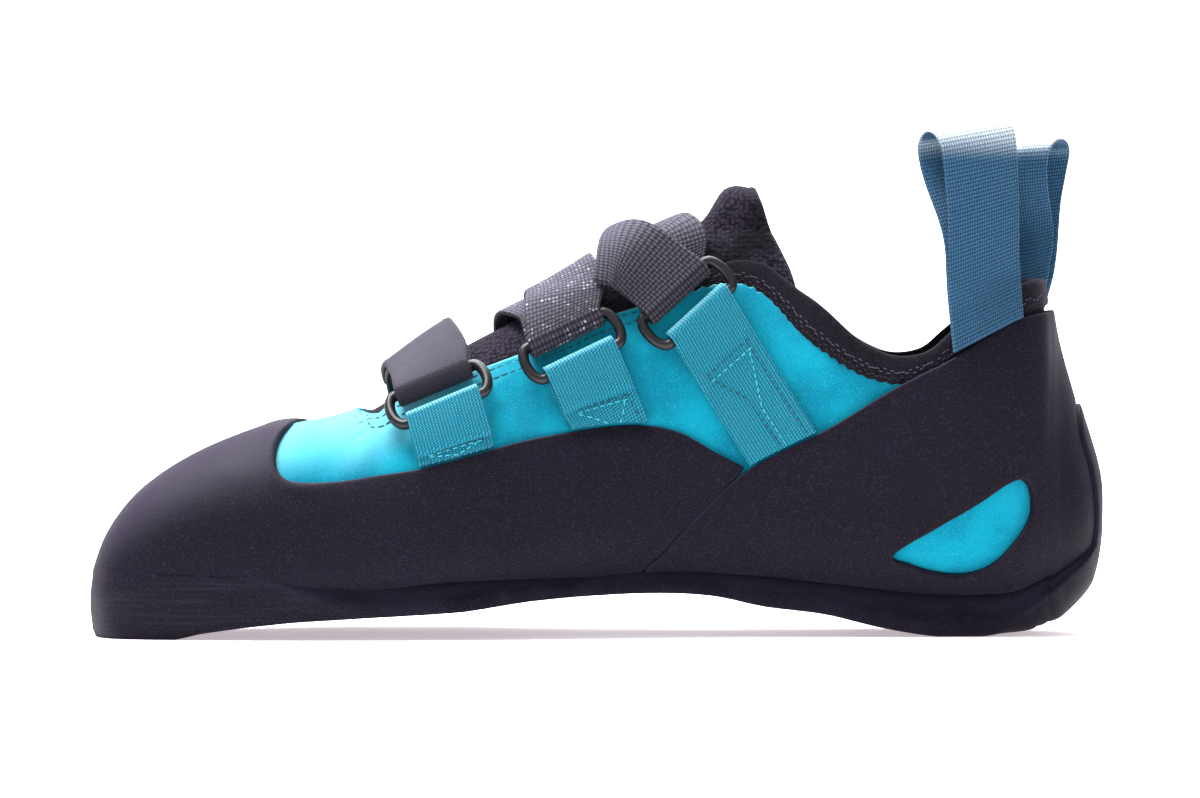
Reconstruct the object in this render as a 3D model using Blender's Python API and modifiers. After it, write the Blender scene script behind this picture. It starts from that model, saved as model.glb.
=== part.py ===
"""A right climbing shoe with three strap closures, toe at -X, inner side at -Y, standing on z = 0.

Every shell follows one surface, the last (the foot shape that the shoe is made on). The last is a loft through
the sections in SECTIONS, and each piece is a patch of it that lies between two offsets from it.
"""

import math

import bpy
from mathutils import Vector
from mathutils.bvhtree import BVHTree
from mathutils.interpolate import poly_3d_calc

# Driving sizes, in metres
LAST_LENGTH = 0.2362
BALL_WIDTH = 0.082
INSTEP_HEIGHT = 0.100
UPPER_WALL = 0.0018
LASTING_MARGIN = 0.0120
BINDING_WALL = 0.0030
TONGUE_WALL = 0.0032
TONGUE_ROLL = 0.0058
RAND_WALL = 0.0016
SLING_WALL = 0.0020
RIM_WALL = 0.0022
SOLE_WALL = 0.0042
HEEL_CAP_WALL = 0.0029
INSOLE_WALL = 0.0020
FIT_GAP = 0.0003
LAYER_GAP = 0.0006
TAPE_WIDTH = 0.0185
TAPE_WALL = 0.0008
STRAP_WIDTH = 0.0190
STRAP_WALL = 0.0012
RING_WIRE = 0.0026
RING_LENGTH = 0.0270
RING_HEIGHT = 0.0118
LOOP_WALL = 0.0010
LOOP_DEPTH = 0.0100
HEEL_CORNER = 0.0008
STRAP_RISE = 0.0025

# The toe stands this far behind the front of the sole, so that the whole shoe is centred on the origin
RIM_OUTER = UPPER_WALL + FIT_GAP + RIM_WALL
SOLE_DEPTH = UPPER_WALL + FIT_GAP + SOLE_WALL
HEEL_OUTER = UPPER_WALL + FIT_GAP + HEEL_CAP_WALL
SHOE_LENGTH = LAST_LENGTH + RIM_OUTER + HEEL_OUTER
TOE_X = RIM_OUTER - SHOE_LENGTH / 2

# How far the pull loops turn towards the heel, in radians
LOOP_TURN = 0.50

# How many points the shells have around each section
AROUND = 28

# Sections of the last, toe to heel. along is a share of LAST_LENGTH, inner, outer and crest are places across
# as shares of BALL_WIDTH, and bottom, widest and top are heights as shares of INSTEP_HEIGHT. low and up say how
# square the section is under and over its widest point, where 2 is an ellipse. steps is how many stations the
# shells have from this section to the next.
COLUMNS = ("along", "inner", "outer", "crest", "bottom", "widest", "top", "low", "up", "steps")
SECTIONS = [
    (0.000, -0.268, -0.268, -0.268, 0.069, 0.110, 0.155, 2.6, 2.2, 1),
    (0.014, -0.402, -0.110, -0.262, 0.063, 0.130, 0.240, 3.0, 2.2, 1),
    (0.046, -0.457, 0.024, -0.256, 0.062, 0.150, 0.333, 3.2, 2.2, 1),
    (0.101, -0.488, 0.201, -0.232, 0.080, 0.170, 0.416, 3.4, 2.2, 2),
    (0.177, -0.506, 0.366, -0.195, 0.102, 0.190, 0.485, 3.4, 2.1, 2),
    (0.262, -0.509, 0.470, -0.159, 0.114, 0.210, 0.540, 3.4, 2.0, 2),
    (0.355, -0.494, 0.502, -0.128, 0.120, 0.230, 0.690, 3.2, 1.9, 2),
    (0.456, -0.415, 0.476, -0.098, 0.138, 0.270, 0.812, 3.0, 2.0, 2),
    (0.558, -0.341, 0.415, -0.061, 0.146, 0.310, 0.955, 2.8, 2.1, 2),
    (0.651, -0.317, 0.366, -0.037, 0.122, 0.330, 1.030, 2.7, 2.3, 2),
    (0.744, -0.317, 0.335, -0.012, 0.095, 0.320, 1.060, 2.7, 2.6, 2),
    (0.837, -0.323, 0.323, 0.000, 0.067, 0.310, 1.045, 2.7, 2.6, 2),
    (0.909, -0.299, 0.299, 0.000, 0.061, 0.310, 1.020, 2.6, 2.2, 2),
    (0.936, -0.264, 0.264, 0.000, 0.083, 0.310, 0.985, 2.5, 2.1, 1),
    (0.946, -0.246, 0.246, 0.000, 0.093, 0.310, 0.830, 2.4, 1.9, 1),
    (0.957, -0.222, 0.222, 0.000, 0.105, 0.310, 0.680, 2.4, 1.8, 2),
    (0.985, -0.150, 0.150, 0.000, 0.170, 0.305, 0.455, 2.2, 1.9, 1),
    (1.000, 0.000, 0.000, 0.000, 0.270, 0.305, 0.345, 2.0, 2.0, 0),
]

# The underside of the outsole, as shares of SHOE_LENGTH and INSTEP_HEIGHT. It dips a little under the floor
# where the sole is ground flat.
SOLE_LINE = [
    (0.000, -0.003), (0.050, -0.004), (0.085, 0.000), (0.110, 0.014), (0.150, 0.028), (0.200, 0.041),
    (0.270, 0.052), (0.365, 0.066), (0.430, 0.089), (0.500, 0.102), (0.560, 0.106), (0.610, 0.098),
    (0.660, 0.072), (0.720, 0.053), (0.775, 0.021), (0.830, 0.000), (0.860, -0.004), (0.900, -0.003),
    (1.000, 0.000),
]

# Outlines seen from the side, along as shares of SHOE_LENGTH from the toe and up as shares of INSTEP_HEIGHT
OFF_TOP = 1.6
SOLE_EDGE = [
    (-0.05, 0.160), (0.00, 0.166), (0.10, 0.155), (0.22, 0.150), (0.28, 0.146), (0.36, 0.152), (0.45, 0.160),
    (0.54, 0.163), (0.62, 0.156), (0.69, 0.139), (0.75, 0.115), (0.80, 0.075), (0.845, 0.050), (0.890, 0.052),
    (0.928, 0.092), (0.954, 0.150), (0.968, 0.225), (0.971, 0.300), (0.966, 0.390), (0.957, 0.470),
    (0.954, 0.550), (0.958, 0.588), (0.966, 0.600), (0.985, 0.600), (1.05, 0.600),
]
RAND_EDGE_INNER = [
    (0.228, OFF_TOP), (0.224, 0.560), (0.214, 0.525), (0.199, 0.488), (0.188, 0.450), (0.185, 0.408),
    (0.191, 0.374), (0.208, 0.361), (0.245, 0.364), (0.285, 0.380), (0.330, 0.400), (0.375, 0.432),
    (0.420, 0.466), (0.465, 0.489), (0.505, 0.505), (0.540, 0.508), (0.575, 0.492), (0.610, 0.446),
    (0.645, 0.385),
]
RAND_EDGE_OUTER = [
    (0.228, OFF_TOP), (0.226, 0.560), (0.220, 0.520), (0.215, 0.470), (0.216, 0.420), (0.224, 0.372),
    (0.245, 0.345), (0.285, 0.335), (0.340, 0.340), (0.400, 0.352), (0.460, 0.368), (0.510, 0.378),
    (0.560, 0.380), (0.605, 0.368), (0.645, 0.345),
]
SLING_TOP = [
    (0.500, 0.060), (0.538, 0.183), (0.560, 0.224), (0.599, 0.308), (0.645, 0.405), (0.720, 0.498),
    (0.790, 0.600), (0.840, 0.663), (0.880, 0.722), (0.913, 0.765), (0.943, 0.783), (0.970, 0.785), (1.05, 0.785),
]
HEEL_WINDOW = [
    (0.786, 0.207), (0.825, 0.262), (0.865, 0.318), (0.896, 0.370), (0.907, 0.378), (0.914, 0.352),
    (0.915, 0.300), (0.903, 0.240), (0.882, 0.186), (0.855, 0.164), (0.825, 0.170), (0.803, 0.186),
]
COLLAR_UPPER = [
    (0.262, OFF_TOP), (0.262, 0.590), (0.264, 0.552), (0.271, 0.530), (0.285, 0.528), (0.297, 0.549),
    (0.344, 0.597), (0.392, 0.645), (0.423, 0.674), (0.462, 0.717), (0.498, 0.758), (0.540, 0.792),
    (0.584, 0.828), (0.612, 0.846), (0.640, 0.848), (0.661, 0.823), (0.678, 0.785), (0.696, 0.737),
    (0.721, 0.690), (0.756, 0.637), (0.791, 0.616), (0.818, 0.632), (0.845, 0.681), (0.880, 0.740),
    (0.920, 0.790), (0.960, 0.808), (1.05, 0.808),
]
COLLAR_TOP = [
    (0.440, 0.560), (0.470, 0.660), (0.500, 0.770), (0.520, 0.805), (0.560, 0.838), (0.600, 0.875),
    (0.630, 0.903), (0.659, 0.897), (0.677, 0.867), (0.697, 0.826), (0.719, 0.787), (0.747, 0.724),
    (0.767, 0.693), (0.786, 0.676), (0.805, 0.676), (0.822, 0.690), (0.840, 0.729), (0.869, 0.785),
    (0.899, 0.831), (0.923, 0.856), (0.943, 0.862), (0.960, 0.855), (1.05, 0.850),
]
TONGUE_SIDE = [
    (0.236, 0.640), (0.243, 0.500), (0.270, 0.455), (0.330, 0.490), (0.400, 0.560), (0.470, 0.640),
    (0.540, 0.710), (0.600, 0.760), (0.650, 0.780), (0.690, 0.800), (0.688, 0.870), (0.674, 0.950),
    (0.662, 1.010), (0.655, 1.060), (0.650, 1.200), (0.450, 1.300), (0.260, 0.900),
]

# The three closures on the inner side. ring is its slot's middle line seen from the side, from its front end
# to its rear end. foot is the middle of the tape's lower end. The strap comes from the outer side by the
# places in under, turns round the ring's upper bar and goes back over itself by the places in over. A place is
# a share of SHOE_LENGTH and an angle round the foot, where 90 is the inner side, 180 the top and 270 the outer.
# lift is how much higher the end of the strap's upper layer lies, and rise how far the strap bridges the padded tongue.
CLOSURES = {
    "front": {
        "ring": ((0.312, 0.518), (0.381, 0.588)), "foot": (0.361, 0.410),
        "under": [(0.340, 160), (0.334, 182), (0.331, 212), (0.328, 240)],
        "over": [(0.340, 160), (0.334, 182), (0.332, 206)], "lift": 0.0, "rise": STRAP_RISE,
    },
    "middle": {
        "ring": ((0.442, 0.642), (0.503, 0.713)), "foot": (0.509, 0.490),
        "under": [(0.458, 160), (0.438, 182), (0.434, 212), (0.432, 240)],
        "over": [(0.470, 160), (0.468, 182), (0.468, 206)], "lift": 0.0, "rise": 0.0,
    },
    "rear": {
        "ring": ((0.562, 0.735), (0.608, 0.838)), "foot": (0.684, 0.430),
        "under": [(0.566, 160), (0.540, 182), (0.534, 212), (0.530, 240)],
        "over": [(0.558, 144), (0.532, 156), (0.510, 165)], "lift": 0.0028, "rise": 0.0,
    },
}

# The two pull loops of the heel, seen from the side: the ends of each one's base and of its top fold
PULL_LOOPS = {
    "inner": {"side": -1, "base": ((0.842, 0.684), (0.904, 0.768)), "top": ((0.818, 1.215), (0.893, 1.245))},
    "outer": {"side": 1, "base": ((0.855, 0.705), (0.924, 0.786)), "top": ((0.879, 1.185), (0.956, 1.195))},
}


def clear_scene():
    for obj in list(bpy.data.objects):
        bpy.data.objects.remove(obj, do_unlink=True)


def material(name, colour, roughness, metallic=0.0):
    made = bpy.data.materials.new(name)
    made.use_nodes = True
    shader = made.node_tree.nodes["Principled BSDF"]
    shader.inputs["Base Color"].default_value = (*colour, 1.0)
    shader.inputs["Roughness"].default_value = roughness
    shader.inputs["Metallic"].default_value = metallic
    return made


def smooth_step(low, high, value):
    share = min(1.0, max(0.0, (value - low) / (high - low)))
    return share * share * (3 - 2 * share)


def catmull(before, start, end, after, t):
    return 0.5 * (
        2 * start + (end - before) * t + (2 * before - 5 * start + 4 * end - after) * t * t
        + (3 * start - before - 3 * end + after) * t ** 3
    )


def mirrored(row):
    """The row past either end of the last, where inner and outer change sides."""
    swap = dict(zip(COLUMNS, row))
    swap["inner"], swap["outer"] = swap["outer"], swap["inner"]
    return tuple(swap[name] for name in COLUMNS)


def section_at(u):
    """The section at share u of the way through the table, as named sizes in metres."""
    rows = [mirrored(SECTIONS[1])] + SECTIONS + [mirrored(SECTIONS[-2])]
    place = min(max(u, 0.0), 1.0) * (len(SECTIONS) - 1)
    first = min(int(place), len(SECTIONS) - 2)
    four = rows[first:first + 4]
    made = {
        name: catmull(*(row[i] for row in four), place - first) for i, name in enumerate(COLUMNS)
    }
    made["x"] = TOE_X + made["along"] * LAST_LENGTH
    for name in ("inner", "outer", "crest"):
        made[name] *= BALL_WIDTH
    for name in ("bottom", "widest", "top"):
        made[name] *= INSTEP_HEIGHT
    return made


def last_point(cut, angle):
    """A point of the section, where angle runs from under the foot round the inner side, top and outer side."""
    across, up = -math.sin(angle), -math.cos(angle)
    power = cut["low"] if up < 0 else cut["up"]
    reach = (abs(across) ** power + abs(up) ** power) ** (-1 / power)
    side = cut["inner"] if across < 0 else cut["outer"]
    height = cut["top"] - cut["widest"] if up > 0 else cut["widest"] - cut["bottom"]
    y = cut["crest"] + (side - cut["crest"]) * abs(across) * reach
    return Vector((cut["x"], y, cut["widest"] + height * up * reach))


class Last:
    """The last as one closed triangle mesh, with what each point needs to know of its own section."""

    def __init__(self, around):
        self.points = []
        self.cuts = []
        index = {}
        shares = [
            (i + step / row[-1]) / (len(SECTIONS) - 1) for i, row in enumerate(SECTIONS) for step in range(row[-1])
        ] + [1.0]
        stations = len(shares) - 1
        for i in range(stations + 1):
            for j in range(around):
                if i in (0, stations) and j > around // 2:
                    index[i, j] = index[i, around - j]
                    continue
                index[i, j] = len(self.points)
                cut = section_at(shares[i])
                self.points.append(last_point(cut, 2 * math.pi * j / around))
                self.cuts.append(cut)
        self.faces = []
        for i in range(stations):
            for j in range(around):
                k = (j + 1) % around
                a, b, c, d = index[i, j], index[i, k], index[i + 1, k], index[i + 1, j]
                self.faces += [three for three in ((a, c, b), (a, d, c)) if len(set(three)) == 3]
        self.normals = [Vector() for _ in self.points]
        for a, b, c in self.faces:
            area = (self.points[b] - self.points[a]).cross(self.points[c] - self.points[a])
            for corner in (a, b, c):
                self.normals[corner] += area
        self.normals = [normal.normalized() for normal in self.normals]
        self.tree = BVHTree.FromPolygons(self.points, self.faces)

    def smooth_normal(self, spot, face):
        corners = self.faces[face]
        weights = poly_3d_calc([self.points[corner] for corner in corners], spot)
        total = Vector()
        for corner, weight in zip(corners, weights):
            total += self.normals[corner] * weight
        return total.normalized()

    def nearest(self, spot):
        place, _, face, _ = self.tree.find_nearest(spot)
        return place, self.smooth_normal(place, face)

    def from_side(self, along, up, side):
        """The point that is seen at this place from the inner (-1) or outer (1) side."""
        origin = Vector((side_x(along), side * 0.2, up * INSTEP_HEIGHT))
        place, _, face, _ = self.tree.ray_cast(origin, Vector((0, -side, 0)))
        return place, self.smooth_normal(place, face)

    def at_angle(self, along, degrees):
        """The point at this share of the shoe's length and this angle round the foot."""
        x = side_x(along)
        low, high = 0.0, 1.0
        for _ in range(30):
            middle = (low + high) / 2
            if section_at(middle)["x"] < x:
                low = middle
            else:
                high = middle
        return self.nearest(last_point(section_at(low), math.radians(degrees)))[0]


def side_x(along):
    return TOE_X - RIM_OUTER + along * SHOE_LENGTH


def sampled(outline, closed):
    """A smooth line through an outline's points, in metres."""
    points = [(side_x(along), up * INSTEP_HEIGHT) for along, up in outline]
    count = len(points)
    steps = 4
    made = []
    for i in range(count if closed else count - 1):
        near = [points[(i + k) % count] if closed else points[min(max(i + k, 0), count - 1)] for k in (-1, 0, 1, 2)]
        for step in range(steps):
            made.append(tuple(catmull(*(p[axis] for p in near), step / steps) for axis in (0, 1)))
    return made if closed else made + [points[-1]]


class Outline:
    """A line seen from the side. Its distance is positive under the line or, if it is closed, inside it."""

    def __init__(self, rows, closed=False):
        self.line = sampled(rows, closed)
        self.closed = closed
        self.ring = list(self.line)
        if not closed:
            left, right = self.line[0], self.line[-1]
            room = SHOE_LENGTH
            self.ring += [
                (right[0] + room, right[1]), (right[0] + room, -room), (left[0] - room, -room),
                (left[0] - room, left[1]),
            ]

    def inside(self, x, z):
        hit = False
        for (ax, az), (bx, bz) in zip(self.ring, self.ring[1:] + self.ring[:1]):
            if (az > z) != (bz > z) and x < ax + (z - az) / (bz - az) * (bx - ax):
                hit = not hit
        return hit

    def distance(self, spot):
        x, z = spot.x, spot.z
        ends = self.line[1:] + (self.line[:1] if self.closed else [])
        away = SHOE_LENGTH
        for (ax, az), (bx, bz) in zip(self.line, ends):
            dx, dz = bx - ax, bz - az
            size = dx * dx + dz * dz
            share = 0.0 if size == 0 else min(1.0, max(0.0, ((x - ax) * dx + (z - az) * dz) / size))
            away = min(away, math.hypot(x - ax - share * dx, z - az - share * dz))
        return away if self.inside(x, z) else -away


def sole_height(x):
    """Height of the outsole's underside at x. It is never under the floor."""
    points = [(side_x(along), up * INSTEP_HEIGHT) for along, up in SOLE_LINE]
    if x <= points[0][0]:
        return max(0.0, points[0][1])
    for i, (ax, az) in enumerate(points[:-1]):
        bx, bz = points[i + 1]
        if x <= bx:
            before = points[max(i - 1, 0)][1]
            after = points[min(i + 2, len(points) - 1)][1]
            return max(0.0, catmull(before, az, bz, after, (x - ax) / (bx - ax)))
    return max(0.0, points[-1][1])


def from_edge(spot, cut, share):
    """How far a point under the foot is inside this share of the foot's half width, less than 0 elsewhere."""
    side = cut["inner"] if spot.y < cut["crest"] else cut["outer"]
    half = abs(side - cut["crest"])
    off = abs(spot.y - cut["crest"])
    return share * half - (off if spot.z < cut["widest"] else 2 * half - off)


SNAP_IN = 0.00030
SNAP_OUT = 0.00002


def shell(name, last, fields, inner, outer, finish):
    """A closed solid between two surfaces over the part of the last where every field is above zero.

    inner and outer give the two surfaces' points from a point of the last, its normal and its section. Each
    field gives a distance at a point. The triangles are cut along the lines where the fields are zero.
    """
    low, high, values = [], [], []
    for spot, normal, cut in zip(last.points, last.normals, last.cuts):
        low.append(inner(spot, normal, cut))
        high.append(outer(spot, normal, cut))
        found = [field(spot, cut) for field in fields]
        values.append([0.0 if -SNAP_OUT < value < SNAP_IN else value for value in found])

    halves = {}

    def crossing(a, b, k):
        key = (min(a, b), max(a, b), k)
        if key not in halves:
            a, b = key[:2]
            share = values[a][k] / (values[a][k] - values[b][k])
            low.append(low[a].lerp(low[b], share))
            high.append(high[a].lerp(high[b], share))
            mixed = [va + (vb - va) * share for va, vb in zip(values[a], values[b])]
            mixed[k] = 0.0
            values.append([0.0 if abs(value) < SNAP_OUT else value for value in mixed])
            halves[key] = len(values) - 1
        return halves[key]

    pieces = []
    for face in last.faces:
        piece = list(face)
        for k in range(len(fields)):
            kept = []
            for a, b in zip(piece, piece[1:] + piece[:1]):
                if values[a][k] >= 0:
                    kept.append(a)
                if values[a][k] * values[b][k] < 0:
                    kept.append(crossing(a, b, k))
            piece = kept if any(values[a][k] > 0 for a in kept) else []
            if len(piece) < 3:
                break
        if len(piece) >= 3:
            pieces.append(piece)
    pieces = whole(pieces)

    faces = [(piece[0], b, c) for piece in pieces for b, c in zip(piece[1:-1], piece[2:])]
    edges = {(a, b) for face in faces for a, b in zip(face, face[1:] + face[:1])}
    rim = [(a, b) for a, b in edges if (b, a) not in edges]
    used = sorted({corner for face in faces for corner in face})
    order = {corner: i for i, corner in enumerate(used)}
    count = len(used)
    points = [high[corner] for corner in used] + [low[corner] for corner in used]
    skin = [[order[c] for c in face] for face in faces]
    skin += [[count + order[c] for c in reversed(face)] for face in faces]
    for a, b in sorted(rim):
        skin.append([order[b], order[a], count + order[a]])
        skin.append([order[b], count + order[a], count + order[b]])
    return add_mesh(name, points, skin, finish)


def whole(pieces):
    """The largest group of faces that hang together by their edges, without any that touch at a corner only."""
    while True:
        by_edge = {}
        for i, piece in enumerate(pieces):
            for a, b in zip(piece, piece[1:] + piece[:1]):
                by_edge.setdefault((min(a, b), max(a, b)), []).append(i)
        rim_at = {}
        for (a, b), owners in by_edge.items():
            if len(owners) == 1:
                rim_at[a] = rim_at.get(a, 0) + 1
                rim_at[b] = rim_at.get(b, 0) + 1
        pinched = {corner for corner, count in rim_at.items() if count > 2}
        drop = set()
        for corner in pinched:
            owners = [i for i, piece in enumerate(pieces) if corner in piece]
            drop.update(sorted(fans(corner, owners, pieces), key=len)[0])
        if not drop:
            break
        pieces = [piece for i, piece in enumerate(pieces) if i not in drop]
    groups = []
    left = set(range(len(pieces)))
    beside = {i: set() for i in left}
    for owners in by_edge.values():
        if len(owners) == 2:
            beside[owners[0]].add(owners[1])
            beside[owners[1]].add(owners[0])
    while left:
        group = {min(left)}
        front = list(group)
        while front:
            for near in beside[front.pop()]:
                if near not in group:
                    group.add(near)
                    front.append(near)
        left -= group
        groups.append(group)
    best = max(groups, key=len)
    return [pieces[i] for i in sorted(best)]


def fans(corner, owners, pieces):
    """The faces round a corner, in groups that share an edge there."""
    groups = []
    for i in owners:
        piece = pieces[i]
        at = piece.index(corner)
        ends = {piece[at - 1], piece[(at + 1) % len(piece)]}
        joined = [group for group in groups if group["ends"] & ends]
        merged = {"ends": set(ends), "faces": {i}}
        for group in joined:
            merged["ends"] |= group["ends"]
            merged["faces"] |= group["faces"]
            groups.remove(group)
        groups.append(merged)
    return [group["faces"] for group in groups]


def add_mesh(name, points, faces, finish):
    mesh = bpy.data.meshes.new(name)
    mesh.from_pydata([tuple(point) for point in points], [], faces)
    mesh.materials.append(finish)
    mesh.shade_smooth()
    mesh.set_sharp_from_angle(angle=math.radians(40))
    obj = bpy.data.objects.new(name, mesh)
    bpy.data.collections[COLLECTION].objects.link(obj)
    return obj


COLLECTION = "climbing_shoe"


def offset(depth):
    """The surface that lies at this depth outside the last."""
    return lambda spot, normal, cut: spot + normal * depth


def hole_under(spot, cut):
    """Inside the opening under the foot, which the outsole closes."""
    margin = from_edge(spot, cut, 1.0) - LASTING_MARGIN
    front = spot.x - side_x(0.09)
    rear = side_x(0.93) - spot.x
    return min(margin, front, rear)


def main():
    clear_scene()
    collection = bpy.data.collections.new(COLLECTION)
    bpy.context.scene.collection.children.link(collection)
    last = Last(AROUND)
    lines = {
        "sole": Outline(SOLE_EDGE), "rand_inner": Outline(RAND_EDGE_INNER), "rand_outer": Outline(RAND_EDGE_OUTER),
        "sling": Outline(SLING_TOP), "window": Outline(HEEL_WINDOW, closed=True), "upper": Outline(COLLAR_UPPER),
        "collar": Outline(COLLAR_TOP), "tongue": Outline(TONGUE_SIDE, closed=True),
    }
    suede = material("teal_suede", (0.0, 0.40, 0.55), 0.85)
    rubber = material("black_rubber", (0.017, 0.014, 0.026), 0.55)
    padding = material("black_padding", (0.02, 0.02, 0.025), 0.95)
    webbing = material("black_webbing", (0.045, 0.043, 0.052), 0.8)
    teal_tape = material("teal_tape", (0.0, 0.42, 0.54), 0.7)
    loop_tape = material("denim_tape", (0.03, 0.16, 0.26), 0.8)
    satin = material("satin_black_metal", (0.01, 0.01, 0.013), 0.35, 0.6)
    board = material("insole_board", (0.10, 0.10, 0.11), 0.9)
    build_shells(last, lines, suede, rubber, padding, board)
    for name, closure in CLOSURES.items():
        build_closure(name, closure, last, lines, webbing, teal_tape, satin)
    for name, loop in PULL_LOOPS.items():
        build_pull_loop(name, loop, last, loop_tape)


def in_sole(lines, spot, cut):
    """Where the outsole lies: below its edge line, and everywhere under the foot."""
    return max(lines["sole"].distance(spot), from_edge(spot, cut, 0.80))


def build_shells(last, lines, suede, rubber, padding, board):
    def rand_line(spot, cut):
        inner, outer = lines["rand_inner"].distance(spot), lines["rand_outer"].distance(spot)
        return inner + (outer - inner) * smooth_step(-0.05, 0.05, (spot.y - cut["crest"]) / BALL_WIDTH)

    def sole(spot, cut):
        return in_sole(lines, spot, cut)

    def apart(field, sign=-1, gap=FIT_GAP):
        return lambda spot, cut: sign * field(spot, cut) - gap / 2

    def line(name):
        return lambda spot, cut: lines[name].distance(spot)

    shell("upper", last, [line("upper"), apart(hole_under, gap=0)], offset(0), offset(UPPER_WALL), suede)
    over_upper = offset(UPPER_WALL + FIT_GAP)

    def insole_field(spot, cut):
        return min(from_edge(spot, cut, 0.93), spot.x - side_x(0.035), side_x(0.965) - spot.x)

    shell("insole", last, [insole_field], offset(-FIT_GAP - INSOLE_WALL), offset(-FIT_GAP), board)

    def sole_inner(spot, normal, cut):
        """Over the upper's margin, and up to the insole in the opening under the foot."""
        rise = smooth_step(0.009, 0.015, hole_under(spot, cut))
        return spot + normal * (FIT_GAP + UPPER_WALL * (1 - rise))

    def sole_outer(spot, normal, cut):
        heel = smooth_step(0.90, 0.955, (spot.x - side_x(0)) / SHOE_LENGTH)
        down = smooth_step(0.25, 0.75, -normal.z)
        side_depth = RIM_OUTER + (HEEL_OUTER - RIM_OUTER) * heel
        corner = smooth_step(0.20, 0.60, -normal.z) * smooth_step(0.15, 0.50, normal.x)
        depth = side_depth + (SOLE_DEPTH - side_depth) * down * heel + HEEL_CORNER * corner
        made = spot + normal * depth
        drop = down * (1 - heel)
        made.z += (sole_height(made.x) - made.z) * drop
        return Vector((min(made.x, side_x(1)), made.y, max(made.z, 0.0)))

    shell("outsole", last, [apart(sole, 1)], sole_inner, sole_outer, rubber)
    above_sole = apart(sole, gap=FIT_GAP)
    shell(
        "front_rand", last, [rand_line, above_sole, apart(line("sling"))], over_upper,
        offset(UPPER_WALL + FIT_GAP + RAND_WALL), rubber,
    )
    shell(
        "heel_sling", last, [apart(line("sling"), 1), above_sole, apart(line("window"), gap=0)], over_upper,
        offset(UPPER_WALL + FIT_GAP + SLING_WALL), rubber,
    )

    def binding_outer(spot, normal, cut):
        """A little thinner than the upper under the straps, and a rounder roll behind them."""
        thin = UPPER_WALL - FIT_GAP
        full = smooth_step(0.675, 0.715, (spot.x - side_x(0)) / SHOE_LENGTH)
        return spot + normal * (thin + (BINDING_WALL - thin) * full)

    shell(
        "collar_binding", last, [apart(line("upper"), gap=2 * FIT_GAP), line("collar")], offset(0),
        binding_outer, padding,
    )

    def tongue_outer(spot, normal, cut):
        along = (spot.x - side_x(0)) / SHOE_LENGTH
        roll = smooth_step(0.590, 0.630, along) * smooth_step(0.980, 1.025, spot.z / INSTEP_HEIGHT)
        return spot + normal * (TONGUE_ROLL * roll - FIT_GAP)

    shell("tongue", last, [line("tongue")], offset(-FIT_GAP - TONGUE_WALL), tongue_outer, padding)


def tape(name, rows, wall, finish):
    """A flat band through rows of points across its width."""
    across = len(rows[0])
    points = [point for row in rows for point in row]
    faces = []
    for i in range(len(rows) - 1):
        for j in range(across - 1):
            a = i * across + j
            faces.append((a, a + 1, a + across + 1, a + across))
    obj = add_mesh(name, points, faces, finish)
    solid = obj.modifiers.new("wall", "SOLIDIFY")
    solid.thickness = wall
    solid.offset = 0
    solid.use_even_offset = True
    return obj


def ring_frame(closure, last):
    """The ring's centre and its three directions: along its bars, up the foot and out of the surface."""
    (front, front_up), (rear, rear_up) = closure["ring"]
    start, _ = last.from_side(front, front_up, -1)
    end, _ = last.from_side(rear, rear_up, -1)
    place, normal = last.from_side((front + rear) / 2, (front_up + rear_up) / 2, -1)
    bar = (end - start).normalized()
    normal = (normal - bar * normal.dot(bar)).normalized()
    up = normal.cross(bar)
    if up.z < 0:
        up = -up
    lift = UPPER_WALL + LAYER_GAP + STRAP_WALL + LAYER_GAP + RING_WIRE / 2
    return place + normal * lift, bar, up, normal


def fold_rows(middle, bar, back, normal, radius, width, steps=5):
    """Rows round a bar, from the side next to the foot to the outer side, past the point that faces away."""
    rows = []
    for i in range(steps):
        angle = math.pi * (i / (steps - 1) - 0.5)
        centre = middle + back * (math.cos(angle) * radius) + normal * (math.sin(angle) * radius)
        rows.append([centre + bar * (width / 2 * j) for j in (-1, 0, 1)])
    return rows


def leg_rows(last, path, bar, width, height, steps):
    """Rows of a band that follows a path over the foot, from just past a ring's bar to the path's end. height is
    a function of the distance from the bar."""
    points = [path[0] + (path[0] - path[1])] + path + [path[-1] + (path[-1] - path[-2])]
    fine = [path[0]]
    for first in range(len(path) - 1):
        near = points[first:first + 4]
        for i in range(1, 13):
            spot = Vector([catmull(*(p[axis] for p in near), i / 12) for axis in range(3)])
            fine.append(last.nearest(spot)[0])
    lengths = [0.0]
    for before, after in zip(fine, fine[1:]):
        lengths.append(lengths[-1] + (after - before).length)
    first_row = 3 * RING_WIRE
    rows = []
    for i in range(steps):
        gone = first_row + (lengths[-1] - first_row) * i / (steps - 1)
        k = max(k for k in range(len(fine) - 1) if lengths[k] <= gone)
        share = min(1.0, (gone - lengths[k]) / max(lengths[k + 1] - lengths[k], 1e-6))
        centre, normal = last.nearest(fine[k].lerp(fine[k + 1], share))
        along = (fine[min(k + 3, len(fine) - 1)] - fine[max(k - 2, 0)]).normalized()
        side = normal.cross(along).normalized()
        if side.dot(bar) < 0:
            side = -side
        side = bar.lerp(side, smooth_step(0, 0.016, gone)).normalized()
        row = []
        for j in (-1, 0, 1):
            place, out = last.nearest(centre + side * (width / 2 * j))
            row.append(place + out * height(gone))
        rows.append(row)
    return rows


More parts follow.
